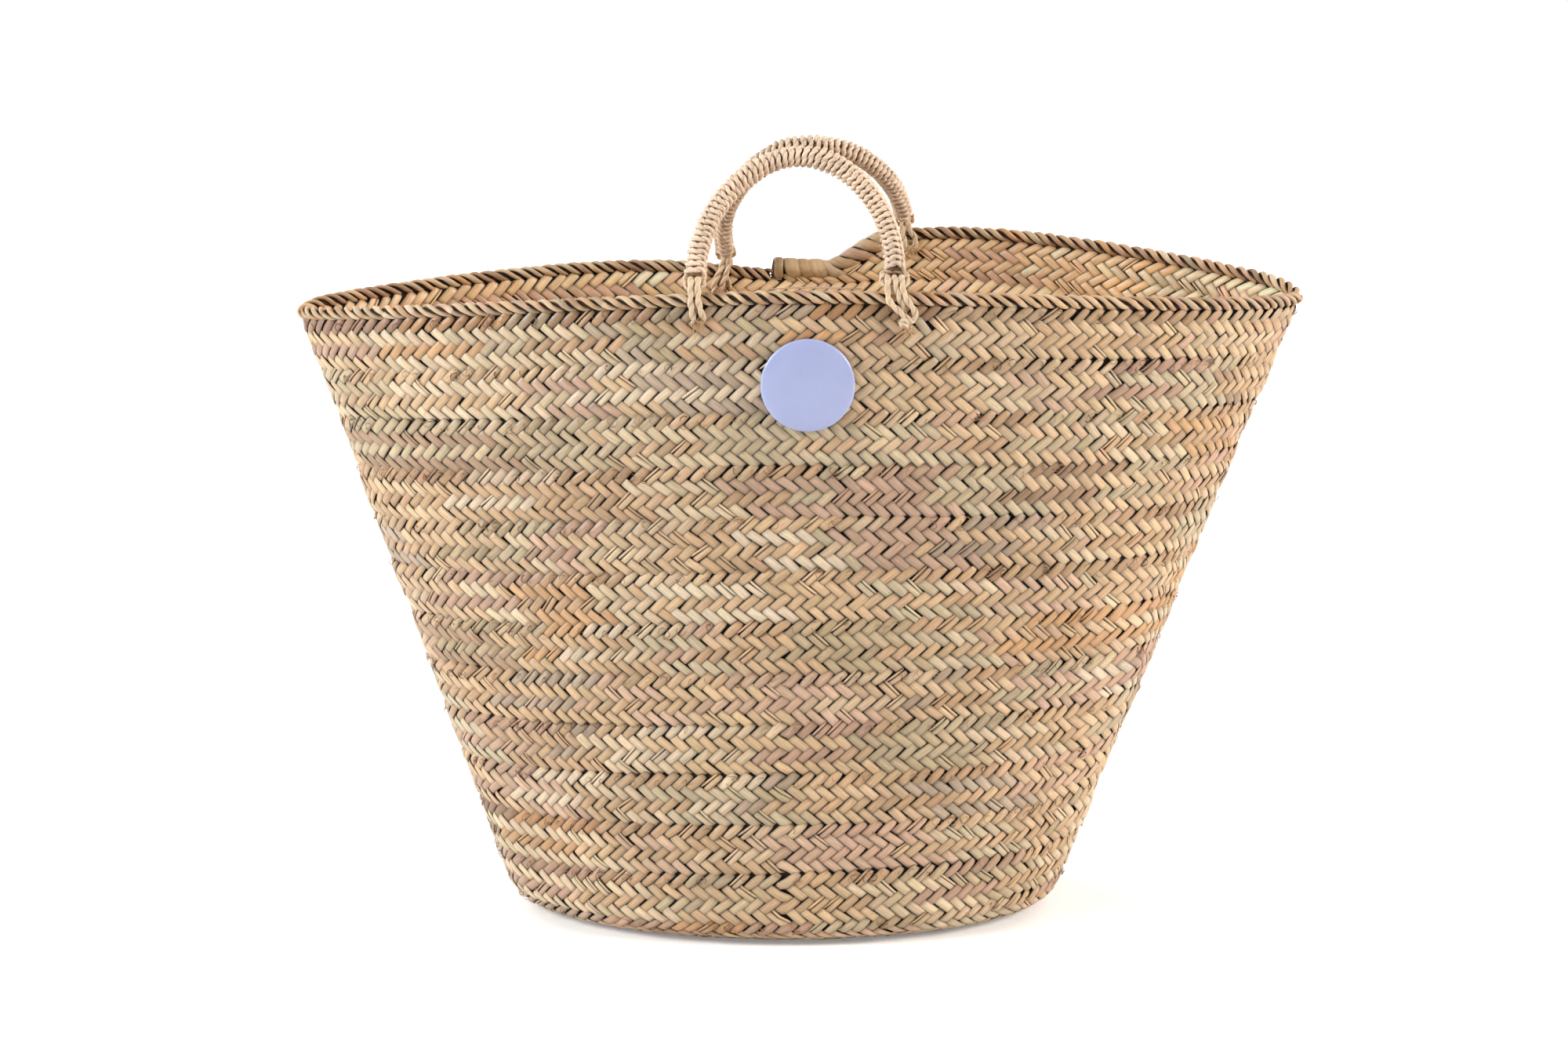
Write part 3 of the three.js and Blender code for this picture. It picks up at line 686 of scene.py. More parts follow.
def makeFloats(inside):
    p = plait
    cells = np.meshgrid(np.arange(1, int(lastStitch) - 1), np.arange(4), indexing="ij")
    k, row = (a.ravel().astype(float) for a in cells)
    leansDown = row % 2 == (1 if inside else 0)
    u = np.where(leansDown, k + 0.25, k - 0.25)
    r = row + 0.5
    turns, courses = placeOnBand(np.interp(u, bandStitches, bandTurns), r / 4)
    keep = (courses > -basket.baseCourses + 0.12) & (turns < p.endTurn)
    tailTop = rimEdgeAt(turns % 1)[0][:, 2]
    height = surfaceAt(turns, courses)[:, 2]
    keep &= ~((turns > p.tailStart) & (row > 0) & (height > tailTop - p.tailGap))
    k, row, leansDown, u, r, turns, courses = (a[keep] for a in (k, row, leansDown, u, r, turns, courses))
    count = len(k)
    down = leansDown[:, None]
    lengthWay = np.where(down, [0.5, -0.5], [0.5, 0.5])
    widthWay = np.where(down, [0.25, 0.25], [-0.25, 0.25])
    region = 1 + 0.07 * waves(turns * 40, courses * 3, 7, 61) + 0.05 * waves(turns * 40, courses * 3, 2, 62)
    strip = np.where(leansDown, k + row + 10, k - row + 20).astype(int)
    # Floats leaning up get painted shade
    tint = np.where(down, falling[strip % len(falling)], rising[strip % len(rising)] * risingPaintedShade)
    tint = tint * region[:, None] * rng.normal(1, 0.035, (count, 1))
    underRope = (turns > 12) & (row == 3)
    patch = smooth(waves(k, np.floor(courses), 16, 91) * 2.4) * (row == 3)
    tint = tint * lerp(np.ones(3), patchTone, patch[:, None] * 0.8)
    # The inner face gets its paler tone and painted light; outside, the row under the rope a painted shadow
    if inside:
        tint = np.minimum(tint * innerToneAndPaintedLight, 0.9)
    else:
        # Painted shadow of the rope
        tint = tint * np.where(underRope[:, None], paintedRopeShadow, 1.0)
    seam = (row == 3) & (turns < 12.0) & (courses > -3)
    runs = waves(k, 0, 3.0, 11) + rng.normal(0, 0.25, count)
    knotted = ((seam & (runs > 0.2)) | underRope) & (not inside)
    turnBy = np.radians(rng.normal(*p.floatTurn, count))
    width = rng.normal(*p.floatWidth, count)
    length = rng.normal(*p.floatLength, count)
    width = np.where(knotted, width * p.knotWidth, width)
    high = p.floatHeight * rng.normal(1, 0.1, count) * np.where(knotted, p.knotHeight, 1)
    lift = rng.normal(*p.floatLift, count) + np.where(knotted, p.knotLift, 0)
    lift = lift + np.where(leansDown, p.downLift, 0)
    tilt = rng.normal(*p.floatTilt, count)
    move = rng.normal(*p.floatMove, (count, 2))
    u = u + move[:, 0] + p.sway * waves(u, r, 6, 3)
    r = r + move[:, 1]
    split = rng.random(count) < p.splitShare
    parts = []
    for chosen, (sideways, share, twist) in zip((~split, split, split), (wholeStrip, *splitStrips)):
        n = int(chosen.sum())
        angle = turnBy[chosen] + np.radians(twist * rng.uniform(-1, 3.5, n))
        reach = swung(lengthWay[chosen] * length[chosen, None], angle)
        across = swung(widthWay[chosen] * width[chosen, None], angle) * (-1 if inside else 1)
        s = stations[:, None]
        t = section * narrowAlong[:, None] * share
        t = t * np.where(deep(knotted[chosen]), ovalAlong[:, None], 1)
        grid = []
        for axis, middle in enumerate((u[chosen], r[chosen])):
            centre = middle + across[:, axis] * sideways
            grid.append(deep(centre) + deep(reach[:, axis]) * s + deep(across[:, axis]) * t)
        rise = riseAlong[:, None] * sectionTop * deep(high[chosen])
        rise = rise + deep(tilt[chosen]) * t + deep(lift[chosen])
        rise = rise - sectionUnder * p.floatThickness
        # Painted shade at the float's ends and edges, with a slight painted highlight in its middle
        shade = tint[chosen][:, None, None, :] * paintedEndShade[:, None, None]
        shade = shade * rng.normal(1, 0.03, (n, 1, 1, 1)) * paintedEdgeShade[:, None]
        random = rng.uniform(0, 400, (n, 2))
        along = random[:, :1] + stations * halfFloat
        around = random[:, 1:] + sectionRun * share
        parts.append((*grid, rise, shade, along, around, courses[chosen]))
    return [np.concatenate(group) for group in zip(*parts)]


# A side of the plait, in pieces between these courses
def weave(name, inside, ends):
    gu, gr, rise, shade, along, around, courses = makeFloats(inside)
    pieces = []
    for label, low, high in zip(("base", "low", "middle", "high", "rim"), ends, ends[1:]):
        chosen = (courses >= low) & (courses < high)
        grids = plaitPoint(gu[chosen], gr[chosen], rise[chosen], inside)
        fitted = (grids, along[chosen], around[chosen], shade[chosen])
        pieces.append(addPiece(f"{name}_{label}", "basket", "palm", palm, *fitted))
        print(f"{name}_{label}", len(grids), "floats")
    return pieces


outerPieces = weave("outer", False, (-4, 0, 3.2, 6.4, 9.6, 14))
weave("inner", True, (-4, 0, 3.4, 6.6, 9.8, 14))
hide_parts("base_braid")
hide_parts("wall_braid")


# The strips' crossings inside the band, coloured dark as painted shade in the gaps between the floats
def bandCore():
    steps = 90
    first, last, end = plait.coreEnds
    turns = np.append(np.arange(first * steps, last * steps) / steps, end)
    rows = np.array([0.02, 1.3, 2.7, 4.14, 4.14, 2.7, 1.3, 0.02])
    depth = np.array([-1.45] * 4 + [-2.15] * 4)
    t = turns[:, None] + 0 * rows
    courses = coursesOn(t, rows / 4)
    point = surfaceAt(t, courses) + outwardAt(t, courses) * depth[:, None]
    grids = underEdge(point, t, courses, 0)[None]
    around = np.array([0, 11, 22, 33, 34, 45, 56, 67, 68.0])
    tint = colour(*plait.gapTone)
    addPiece("band_core", "basket", "palm", innerPalm, grids, (turns * 1100)[None], around, tint, perCell=40)


bandCore()
print("plait ready")


# Tubes: a section carried along a line with its own side and up directions at each point
def tubeGrid(points, sideways, upward, halfWide, halfHigh, sides):
    angle = 2 * math.pi * np.arange(sides) / sides
    wide = np.broadcast_to(halfWide, points.shape[:-1])[..., None, None]
    high = np.broadcast_to(halfHigh, points.shape[:-1])[..., None, None]
    ring = sideways[..., None, :] * np.cos(angle)[:, None] * wide
    ring = ring + upward[..., None, :] * np.sin(angle)[:, None] * high
    return points[..., None, :] + ring


# Directions at these angles between a first and a second one
def aimed(first, second, angle):
    return first * np.cos(angle)[:, None] + second * np.sin(angle)[:, None]


# A strand that lies on the outside of its rope, with its flat side to the rope
def strandTube(points, radial, halfWide, halfHigh, sides):
    direction = unit(np.gradient(points, axis=0))
    across = unit(np.cross(radial, direction))
    return tubeGrid(points, across, np.cross(direction, across), halfWide, halfHigh, sides)


def frameAlong(points, hint):
    along = unit(np.gradient(points, axis=-2))
    side = unit(hint - along * (hint * along).sum(-1, keepdims=True))
    return along, side, np.cross(along, side)


# A tube round each thin line, with no direction of its own
def hairTubes(line, radius, sides):
    along, side, high = frameAlong(line, np.array([0.31, 0.17, 0.93]))
    return tubeGrid(line, side, high, radius, radius, sides)


# A smooth line through knots, with this many points between each pair
def smoothLine(knots, between):
    knots = np.array(knots, float)
    before = np.concatenate([2 * knots[:1] - knots[1:2], knots[:-2]])[:, None]
    after = np.concatenate([knots[2:], 2 * knots[-1:] - knots[-2:-1]])[:, None]
    first = knots[:-1, None]
    second = knots[1:, None]
    t = (np.arange(between) / between)[:, None]
    bend = 2 * before - 5 * first + 4 * second - after
    line = first + 0.5 * t * (second - before + t * (bend + t * (3 * (first - second) + after - before)))
    return np.concatenate([line.reshape(-1, knots.shape[1]), knots[-1:]])


loose = Values(
    curls=1500,
    curlSize=(0.14, 0.34),
    curlRadius=(0.16, 0.34),
    hairs={"outer_hairs": (False, 700, (2, 9)), "inner_hairs": (True, 320, (2, 8))},
    hairRadius=0.13,
    hairTone=(190, 156, 114),
    hairFloor=0.3,
    curlTones=((104, 72, 48), (176, 138, 98)),
    curlFloor=0.5,
    fromEnds=20,
)


# Loose fibre ends: thin curved hairs from their roots
def fibres(name, body, slot, finish, roots, ways, bends, span, thickness, tone):
    count = len(roots)
    t = np.linspace(0, 1, 6)[:, None]
    reach = rng.uniform(*span, (count, 1, 1))
    curl = rng.normal(0, 0.35, (count, 1, 3))
    line = roots[:, None] + reach * (ways[:, None] * t + (bends[:, None] + curl) * t ** 2)
    line[..., 2] = np.maximum(line[..., 2], loose.hairFloor)
    radius = thickness * (1.15 - 0.75 * t[..., 0]) * rng.uniform(0.7, 1.3, (count, 1))
    grids = hairTubes(line, radius, 3)
    tint = (colour(*tone) * rng.normal(1, 0.1, (count, 1)))[:, None, None, :]
    run = rng.uniform(0, 90, (count, 1)) + np.linspace(0, 5, 6)
    addPiece(name, body, slot, finish, grids, run, np.arange(4) * 0.3, tint)


# Thin brown curls at the seams of the plait
def seamCurls():
    count = loose.curls
    k = rng.uniform(loose.fromEnds, lastStitch - loose.fromEnds, count)
    k = np.floor(k) + rng.normal(0.1, 0.12, count)
    row = 3.55 + rng.normal(0, 0.2, count)
    t = np.linspace(0, 1, 9)
    size = rng.uniform(*loose.curlSize, (count, 1))
    angle = rng.uniform(0, 6.3, (count, 1)) + rng.uniform(2.2, 5.2, (count, 1)) * t
    u = k[:, None] + size * np.cos(angle)
    r = row[:, None] + size * 1.1 * np.sin(angle)
    height = 1.5 + 1.5 * np.sin(math.pi * t) * rng.uniform(0.4, 1.2, (count, 1))
    line = plaitPoint(u, np.clip(r, 0.05, 3.98), height, False)
    line[..., 2] = np.maximum(line[..., 2], loose.curlFloor)
    radius = rng.uniform(*loose.curlRadius, (count, 1)) * (1 - 0.6 * t)
    grids = hairTubes(line, radius, 4)
    dark, pale = (colour(*tone) for tone in loose.curlTones)
    tint = lerp(dark, pale, rng.random((count, 1)))[:, None, None, :]
    run = rng.uniform(0, 90, (count, 1)) + t * 6
    addPiece("seam_curls", "basket", "palm", palm, grids, run, np.arange(5) * 0.4, tint)


# Pale hairs anywhere on the plait
def plaitHairs(name, inside, count, span):
    u = rng.uniform(loose.fromEnds, lastStitch - loose.fromEnds, count)
    r = np.clip(rng.choice([0.1, 1.0, 2.0, 3.0, 3.9], count) + rng.normal(0, 0.05, count), 0, 4)
    roots = plaitPoint(u, r, np.full(count, 1.0), inside)
    away = plaitPoint(u, r, np.full(count, 2.0), inside) - roots
    ways = unit(rng.normal(0, 1, (count, 3)) + away * 0.9)
    ways = unit(ways + away * np.clip(0.15 - (ways * away).sum(-1, keepdims=True), 0, 2))
    bends = rng.normal(0, 0.4, (count, 3)) - up * 0.25
    finish = (loose.hairRadius, loose.hairTone)
    fibres(name, "basket", "palm", palm, roots, ways, bends, span, *finish)


seamCurls()
for name, settings in loose.hairs.items():
    plaitHairs(name, *settings)


# Rim edging: a rope of leaf strips laid along the free edge, up to the taper of the tail

edging = Values(
    strands=3,
    pitch=25.5,
    reach=3.0,
    halfWide=1.9,
    halfHigh=1.4,
    lower=0.8,
    stepsPerTwist=22,
    start=0.001,
    endX=41,
    endTaper=9,
    wobble=0.5,
    stray=0.25,
    reachSpread=0.4,
    stripScale=(0.74, 1.12),
    # Painted shade on each strand's side towards the rope's middle, darkest to lightest
    depthShades=(0.34, 1.05),
    tone=(0.98, 0.92, 0.88),
)


def rimEdging():
    e = edging
    dense = np.linspace(e.start, rimTurnsAt(e.endX, *tailSpan), 4000)
    run = lengths(rimFrame(dense)[0])
    total = run[-1]
    place = np.linspace(0, total, int(total / e.pitch * e.stepsPerTwist))
    centre, along, lift, outward = rimFrame(np.interp(place, run, dense))
    centre = centre - lift * e.lower
    angle = -2 * math.pi * place / e.pitch + e.wobble * waves(place, 0, 9, 21)
    taper = 0.3 + 0.7 * smooth(np.minimum(place, total - place) / e.endTaper)
    grids = []
    shades = []
    for strand in range(e.strands):
        stray = e.stray * waves(place, strand, 4, 27 + strand)
        a = angle + strand * 2 * math.pi / e.strands + stray
        radial = aimed(outward, lift, a)
        reach = e.reach + e.reachSpread * waves(place, strand, 5, 31 + strand)
        points = centre + radial * reach[:, None]
        part = a / (2 * math.pi) + 0.1 * strand
        piece = np.floor(part).astype(int)
        piece = piece - piece.min()
        pieces = piece.max() + 2
        pick = toneTable[rng.choice(len(toneTable), pieces, p=toneShares)] * rng.normal(1, 0.1, (pieces, 1))
        scale = rng.uniform(*e.stripScale, pieces)
        blend = smooth((part % 1) * 6)
        shade = pick[piece + 1] * (1 - blend[:, None]) + pick[piece] * blend[:, None]
        wide = e.halfWide * (scale[piece + 1] * (1 - blend) + scale[piece] * blend) * taper
        grids.append(strandTube(points, radial, wide, e.halfHigh, 10))
        shades.append(shade * e.tone)
    # Painted shade on each strand's side towards the rope's middle, a slight painted highlight outside
    depth = lerp(*e.depthShades, smooth(np.sin(2 * math.pi * np.arange(10) / 10) * 0.9 + 0.55))
    tint = np.stack(shades)[:, :, None, :] * depth[:, None]
    run = np.stack([place + 37 * k for k in range(e.strands)])
    fitted = (np.stack(grids), run, np.arange(11) * 1.4, tint)
    addPiece("rim_edging_rope", "basket", "palm_edging", palmEdge, *fitted, "rim_edging", perCell=60)


rimEdging()


# Leaf strips folded over the rim line. Each one runs from its foot inside the basket, over
# the edge and down outside, and leans along the rim by its slant.
folds = Values(
    hem=3.1,
    radius=5.2,
    dive=2.2,
    thickness=0.9,
    steps=29,
    bindingX=(3.0, 11.0, 19.2, 27.8),
    bindingWidth=(6.4, 10.2, 8.6, 11.6),
    bindingSlant=(1.2, 4.6, 6.4, 5.6),
    bindingFoot=(-8.6, -7.4, -7.2, -6.8),
    bindingTones=((198, 166, 126), (222, 190, 148), (212, 178, 136), (226, 195, 154)),
    edgeX=(33, 70, 9.2),
    edgeWidth=7.7,
    edgeSlant=12.5,
    edgeFeet=(-9.4, -7.9),
    edgeTones=(0, 2, 4, 1, 2),
    edgeLight=1.12,
    across=(-1, -0.7, -0.2, 0.3, 0.75, 1, 0.8, 0.2, -0.5, -0.9),
    top=(0.0, 0.7, 1.1, 1.1, 0.7, 0.0, -0.5, -0.6, -0.6, -0.5),
    # Painted shade across each strip: darker at its edges and underside, a slight painted highlight on top
    shades=(0.8, 1.02, 1.06, 1.0, 0.88, 0.5, 0.6, 0.7, 0.7, 0.7),
    around=(0, 1.4, 3.8, 6.2, 8.4, 9.6, 10.6, 13.4, 16.7, 18.6, 19.6),
)


def foldedStrip(x, width, slant, foot, radius, tone):
    path = np.linspace(0, 1, folds.steps)
    turn = math.pi * (1 - np.clip((path - 0.3) / 0.4, 0, 1))
    out = radius * np.cos(turn)
    leg = np.clip(np.maximum(0.3 - path, path - 0.7) / 0.3, 0, 1)
    hem = lerp(radius, folds.hem, smooth(leg)) - folds.dive * smooth(leg * 2.5 - 1.5)
    out = np.where(leg > 0, np.sign(out) * hem, out)
    high = np.where(leg > 0, foot * leg, radius * np.sin(turn))
    across = x + slant * (0.5 - path) * 2
    centre, along, lift, outward = rimFrame(rimTurnsAt(across, *tailSpan))
    line = centre + outward * out[:, None] + lift * high[:, None]
    direction = unit(np.gradient(line, axis=0))
    side = unit(along - direction * (along * direction).sum(-1, keepdims=True))
    normal = np.cross(side, direction)
    t = np.array(folds.across)
    half = width / 2 * (1 - 0.25 * smooth(leg * 2 - 1))
    grid = line[:, None, :] + side[:, None, :] * (t * half[:, None])[..., None]
    lifted = (np.array(folds.top) - 0.5 * t) * folds.thickness
    grid = grid - normal[:, None, :] * lifted[:, None]
    # The strip's tone with painted shade at its edges and underside
    return grid, np.broadcast_to(tone, grid.shape) * np.array(folds.shades)[:, None]


def foldSet(name, strips, length, apart, slot, *nodes):
    grids, shades = (np.stack(group) for group in zip(*(foldedStrip(*strip) for strip in strips)))
    along = np.stack([np.linspace(0, length, folds.steps) + apart * k for k in range(len(grids))])
    addPiece(name, "basket", slot, palm, grids, along, np.array(folds.around), shades, *nodes)


def foldedStrips():
    f = folds
    sizes = zip(f.bindingX, f.bindingWidth, f.bindingSlant, f.bindingFoot, f.bindingTones)
    binding = [(tailEndX + x, wide, slant, foot, f.radius + 0.5, colour(*tone))
               for x, wide, slant, foot, tone in sizes]
    foldSet("tail_binding_strip", binding, 40, 60, "palm", "tail_binding")
    edge = []
    for k, x in enumerate(np.arange(*f.edgeX)):
        tone = toneTable[f.edgeTones[k % 5]] * f.edgeLight
        foot = f.edgeFeet[k % 2]
        edge.append((tailEndX + x, f.edgeWidth, f.edgeSlant, foot, f.radius - 0.4, tone))
    foldSet("tail_edge_strips", edge, 48, 70, "palm_edging")


foldedStrips()


# The leaf ends under the rope and the folds, coloured dark as painted shade in the gaps between them:
# half width, half height and depth below the rim line, under the rope and under the folds
heart = Values(
    start=0.002,
    endX=7,
    foldX=54,
    wide=(2.0, 3.6),
    high=(3.0, 4.8),
    low=(1.9, 0.3),
    # Painted shade: the dark tone of the leaf ends seen in the gaps
    tone=(52, 34, 22),
)


def rimHeart():
    turns = np.linspace(heart.start, rimTurnsAt(tailEndX + heart.endX, *tailSpan), 700)
    centre, along, lift, outward = rimFrame(turns)
    folded = smooth((heart.foldX - centre[:, 0]) / 6) * (turns > 0.9)
    half, high, low = (lerp(*heart[size], folded) for size in ("wide", "high", "low"))
    grid = tubeGrid(centre - lift * low[:, None], outward, lift, half, high, 8)
    fitted = (grid[None], lengths(centre)[None], np.arange(9) * 1.5, colour(*heart.tone))
    addPiece("rim_heart", "basket", "palm_edging", innerPalm, *fitted, perCell=40)


rimHeart()


# A loose leaf strip lying along the top of the front rim
leaf = Values(
    ends=(-19, 37),
    steps=40,
    rise=4.1,
    arch=0.6,
    inward=1.6,
    stray=0.8,
    halfWide=1.9,
    halfHigh=0.4,
    tone=(201, 164, 142),
)


def looseStrip():
    x = np.linspace(*leaf.ends, leaf.steps)
    centre, along, lift, outward = rimFrame(rimTurnsAt(x, *frontSpan))
    share = np.linspace(0, 1, leaf.steps)
    rise = leaf.rise + leaf.arch * np.sin(math.pi * share) + 0.2 * waves(x, 0, 5, 71)
    line = centre + lift * rise[:, None] - outward * (leaf.inward + leaf.stray * share)[:, None]
    half = leaf.halfWide * np.sin(math.pi * np.clip(share, 0.03, 0.97)) ** 0.5
    grid = tubeGrid(line, outward, lift, half, leaf.halfHigh, 8)
    fitted = (grid[None], x[None], np.arange(9) * 0.6, colour(*leaf.tone))
    addPiece("rim_loose_strip", "basket", "palm_edging", palm, *fitted)


looseStrip()
print("rim ready")

# Handles. Fuzz and fray have a range of lengths, a thickness and a tone. A handle has its
# middle along the rim, its crown's shift, whether it is in front, and the turns of its left
# and right lacing.

handle = Values(
    span=122,
    height=97,
    squareness=1.93,
    lean=42,
    pivotLift=6.5,
    eyeHeight=10.5,
    eyeRadius=1.7,
    eyePlay=0.7,
    eyeScale=0.8,
    coreRadius=3.4,
    windingReach=4.85,
    windingFrom=9.0,
    windingPitch=4.5,
    stepsPerTurn=30,
    plyPitch=11,
    plyRadius=1.24,
    plyReach=0.82,
    spineFrom=-62,
    spineTwist=330,
    spineSpan=(0.16, 0.56),
    hitchRise=1.2,
    hitchRiseWidth=0.55,
    hitchSlide=1.7,
    hitchSlideWidth=0.8,
    lacingPitch=4.1,
    lacingRadius=1.75,
    laceTwist=15,
    laceScale=1.04,
    knotScale=0.7,
    cordTone=(246, 221, 195),
    laceTone=(230, 205, 173),
    # Painted shade on the winding's side towards the handle's middle
    sunkTone=(0.48, 0.38, 0.29),
    coreTone=(150, 116, 84),
    fuzz=900,
    fuzzFinish=((1.2, 3.6), 0.13, (226, 206, 180)),
    fray=60,
    frayFinish=((2.5, 7), 0.2, (206, 170, 128)),
    front=(-1.3, 3.4, True, (2, 3)),
    rear=(13.8, 1.7, False, (2, 2)),
)


def eyeWidth(turns):
    h = handle
    cord = (turns - 1) * h.lacingPitch / 2 + h.lacingRadius
    return cord + basket.seat + h.eyePlay + h.eyeRadius


# Where a handle sits on the rim: its ends, its pivot line and the frame that it is built in
def handlePlace(centreX, crownShift, front, lacingTurns):
    spans = (frontSpan, frontSpan) if front else rearSpans
    middle = centreX + basket.centre[0]
    ends = [rimTurnsAt(middle + side * handle.span / 2, *span) for side, span in zip((-1, 1), spans)]
    centre, along, lift, outwards = rimFrame(np.array(ends))
    seats = centre + up * handle.pivotLift
    slope = unit(seats[1] - seats[0])
    for end in (0, 1):
        way = along[end] * np.sign(along[end][0])
        seats[end] += up * abs(slope[2] - way[2]) * eyeWidth(lacingTurns[end])
    axis = unit(seats[1] - seats[0])
    outward = np.array([0, -1.0 if front else 1.0, 0])
    outward = unit(outward - axis * (outward @ axis))
    rise = np.cross(outward, axis) if front else np.cross(axis, outward)
    lean = math.radians(-handle.lean if front else handle.lean)
    basis = np.stack([axis, np.cross(rise, axis), rise], 1) @ np.array(Matrix.Rotation(lean, 3, "X"))
    return Values(
        ends=seats,
        axis=axis,
        outward=outward,
        span=np.linalg.norm(seats[1] - seats[0]),
        crownShift=crownShift,
        turns=lacingTurns,
        basis=basis,
        middle=(seats[0] + seats[1]) / 2,
    )


def toWorld(place, local):
    return local @ place.basis.T + place.middle


# The arch's centre line from foot to foot, straight below the eyes' height
def archLine(place, foot, count=None):
    angle = math.pi * (1 - np.linspace(0, 1, 2000))
    power = 2 / handle.squareness
    climb = np.abs(np.sin(angle)) ** power
    side = np.sign(np.cos(angle)) * np.abs(np.cos(angle)) ** power
    z = handle.eyeHeight + (handle.height - handle.eyeHeight) * climb
    x = place.span / 2 * side + place.crownShift * z / handle.height
    line = np.stack([x, 0 * x, z], -1)
    feet = line[[0, -1]] * (1, 1, 0) + (0, 0, foot)
    line = np.concatenate([feet[:1], line, feet[1:]])
    run = lengths(line)
    count = count or round(run[-1] / handle.windingPitch) * handle.stepsPerTurn + 1
    stops = np.linspace(0, run[-1], count)
    return np.stack([np.interp(stops, run, line[:, k]) for k in range(3)], -1), stops


# A cord of two plies twisted together along a line, if asked with painted shade towards its inner side
def twistedCord(name, line, hint, body, nodes, tone, scale=1.0, pitch=handle.plyPitch, shadeHollows=False):
    run = lengths(line)
    along, side, high = frameAlong(line, hint)
    grids = []
    for ply in (0, 1):
        radial = aimed(side, high, 2 * math.pi * run / pitch + ply * math.pi)
        points = line + radial * handle.plyReach * np.broadcast_to(scale, run.shape)[:, None]
        radius = handle.plyRadius * scale * (1 + 0.1 * waves(run, ply, 2.5, 41))
        grids.append(strandTube(points, radial, radius * 1.1, radius, 8))
    grids = np.stack(grids)
    uneven = 1 + 0.08 * waves(run, 0, 6, 43)[:, None, None]
    tint = np.broadcast_to(colour(*tone), grids.shape) * uneven
    # Painted shade on the side of the cord that faces into the handle
    if shadeHollows:
        depth = ((grids - line[:, None]) * hint[:, None]).sum(-1, keepdims=True)
        tint = tint * lerp(np.array(handle.sunkTone), np.ones(3), smooth(depth / 1.7 + 0.62))
    runs = np.stack([run, run + 71])
    addPiece(name, body, "sisal_cord", sisal, grids, runs, np.arange(9) * 1.0, tint, *nodes, perCell=60)


# The cord wound round a handle, its half hitches standing up along a spine that creeps round
def winding(place, side):
    h = handle
    line, run = archLine(place, h.windingFrom)
    along = unit(np.gradient(line, axis=0))
    across = np.array([0, 1.0, 0])
    inner = np.cross(across, along)
    angle = -2 * math.pi * np.arange(len(run)) / h.stepsPerTurn
    twisted = smooth((run / run[-1] - h.spineSpan[0]) / h.spineSpan[1])
    spine = np.radians(h.spineFrom + h.spineTwist * twisted)
    gap = (angle - spine + math.pi) % (2 * math.pi) - math.pi
    foot = np.minimum(run, run[-1] - run)
    reach = h.windingReach + h.hitchRise * np.exp(-(gap / h.hitchRiseWidth) ** 2)
    reach = reach + 0.2 * waves(run, 0, 3, 51) + 0.3 * smooth(1 - foot / 9)
    slide = h.hitchSlide * np.exp(-(gap / h.hitchSlideWidth) ** 2) * np.sin(gap * 1.6)
    slide = slide + 0.3 * waves(run, 0, 1.2, 53)
    radial = aimed(inner, across, angle)
    world = toWorld(place, line + radial * reach[:, None] + along * slide[:, None])
    outwards = radial @ place.basis.T
    body = f"{side}_handle"
    twistedCord(f"{body}_cord", world, outwards, body, [f"{body}_winding"], h.cordTone, shadeHollows=True)
    count = h.fuzz
    picks = rng.integers(0, len(run), count)
    ways = unit(outwards[picks] * 0.55 + rng.normal(0, 0.6, (count, 3)))
    roots = world[picks] + outwards[picks] * 1.6
    bends = rng.normal(0, 0.5, (count, 3)) - up * 0.2
    fibres(f"{body}_fuzz", body, "sisal_cord", sisal, roots, ways, bends, *h.fuzzFinish)


def handleCore(place, side):
    line, run = archLine(place, handle.windingFrom + 1, 60)
    sideways, upward = frameAlong(line, np.array([0, 1.0, 0]))[1:]
    grids = tubeGrid(line, sideways, upward, handle.coreRadius, handle.coreRadius, 10)
    body = f"{side}_handle"
    fitted = (toWorld(place, grids)[None], run[None], np.arange(11) * 2.0, colour(*handle.coreTone))
    addPiece(f"{body}_heart", body, "rope_core", sisal, *fitted, f"{body}_core", perCell=20)
    a = np.linspace(0, 2 * math.pi, 90)
    high = handle.eyeHeight / 2
    for hand, sign, turns in (("left", -1, place.turns[0]), ("right", 1, place.turns[1])):
        half = eyeWidth(turns) - handle.eyePlay
        x = half * np.sign(np.cos(a)) * np.sqrt(np.abs(np.cos(a)))
        z = high * np.sign(np.sin(a)) * np.sqrt(np.abs(np.sin(a)))
        world = toWorld(place, np.stack([x, 0 * x, z], -1) + np.array([sign * place.span / 2, 0, high]))
        hint = np.broadcast_to(place.basis[:, 1], world.shape)
        twistedCord(f"{side}_{hand}_eye", world, hint, body, [], handle.laceTone, handle.eyeScale)


# The knots of a lacing cord are (along the rim, above the seat, outward). These are shared.
def overRim(x):
    return [(x, 1, -5), (x, 4.8, 0), (x, 1, 5)]


leftLeg = [(-2.1, -6, 5.8), (-2, -12, 5.6), (-1.4, -17, 4.6), (-1, -20, 1)]
rightLeg = [(2.2, -6, 5.8), (2.6, -12, 5.6), (3, -17, 4.6), (3.2, -20, 1)]

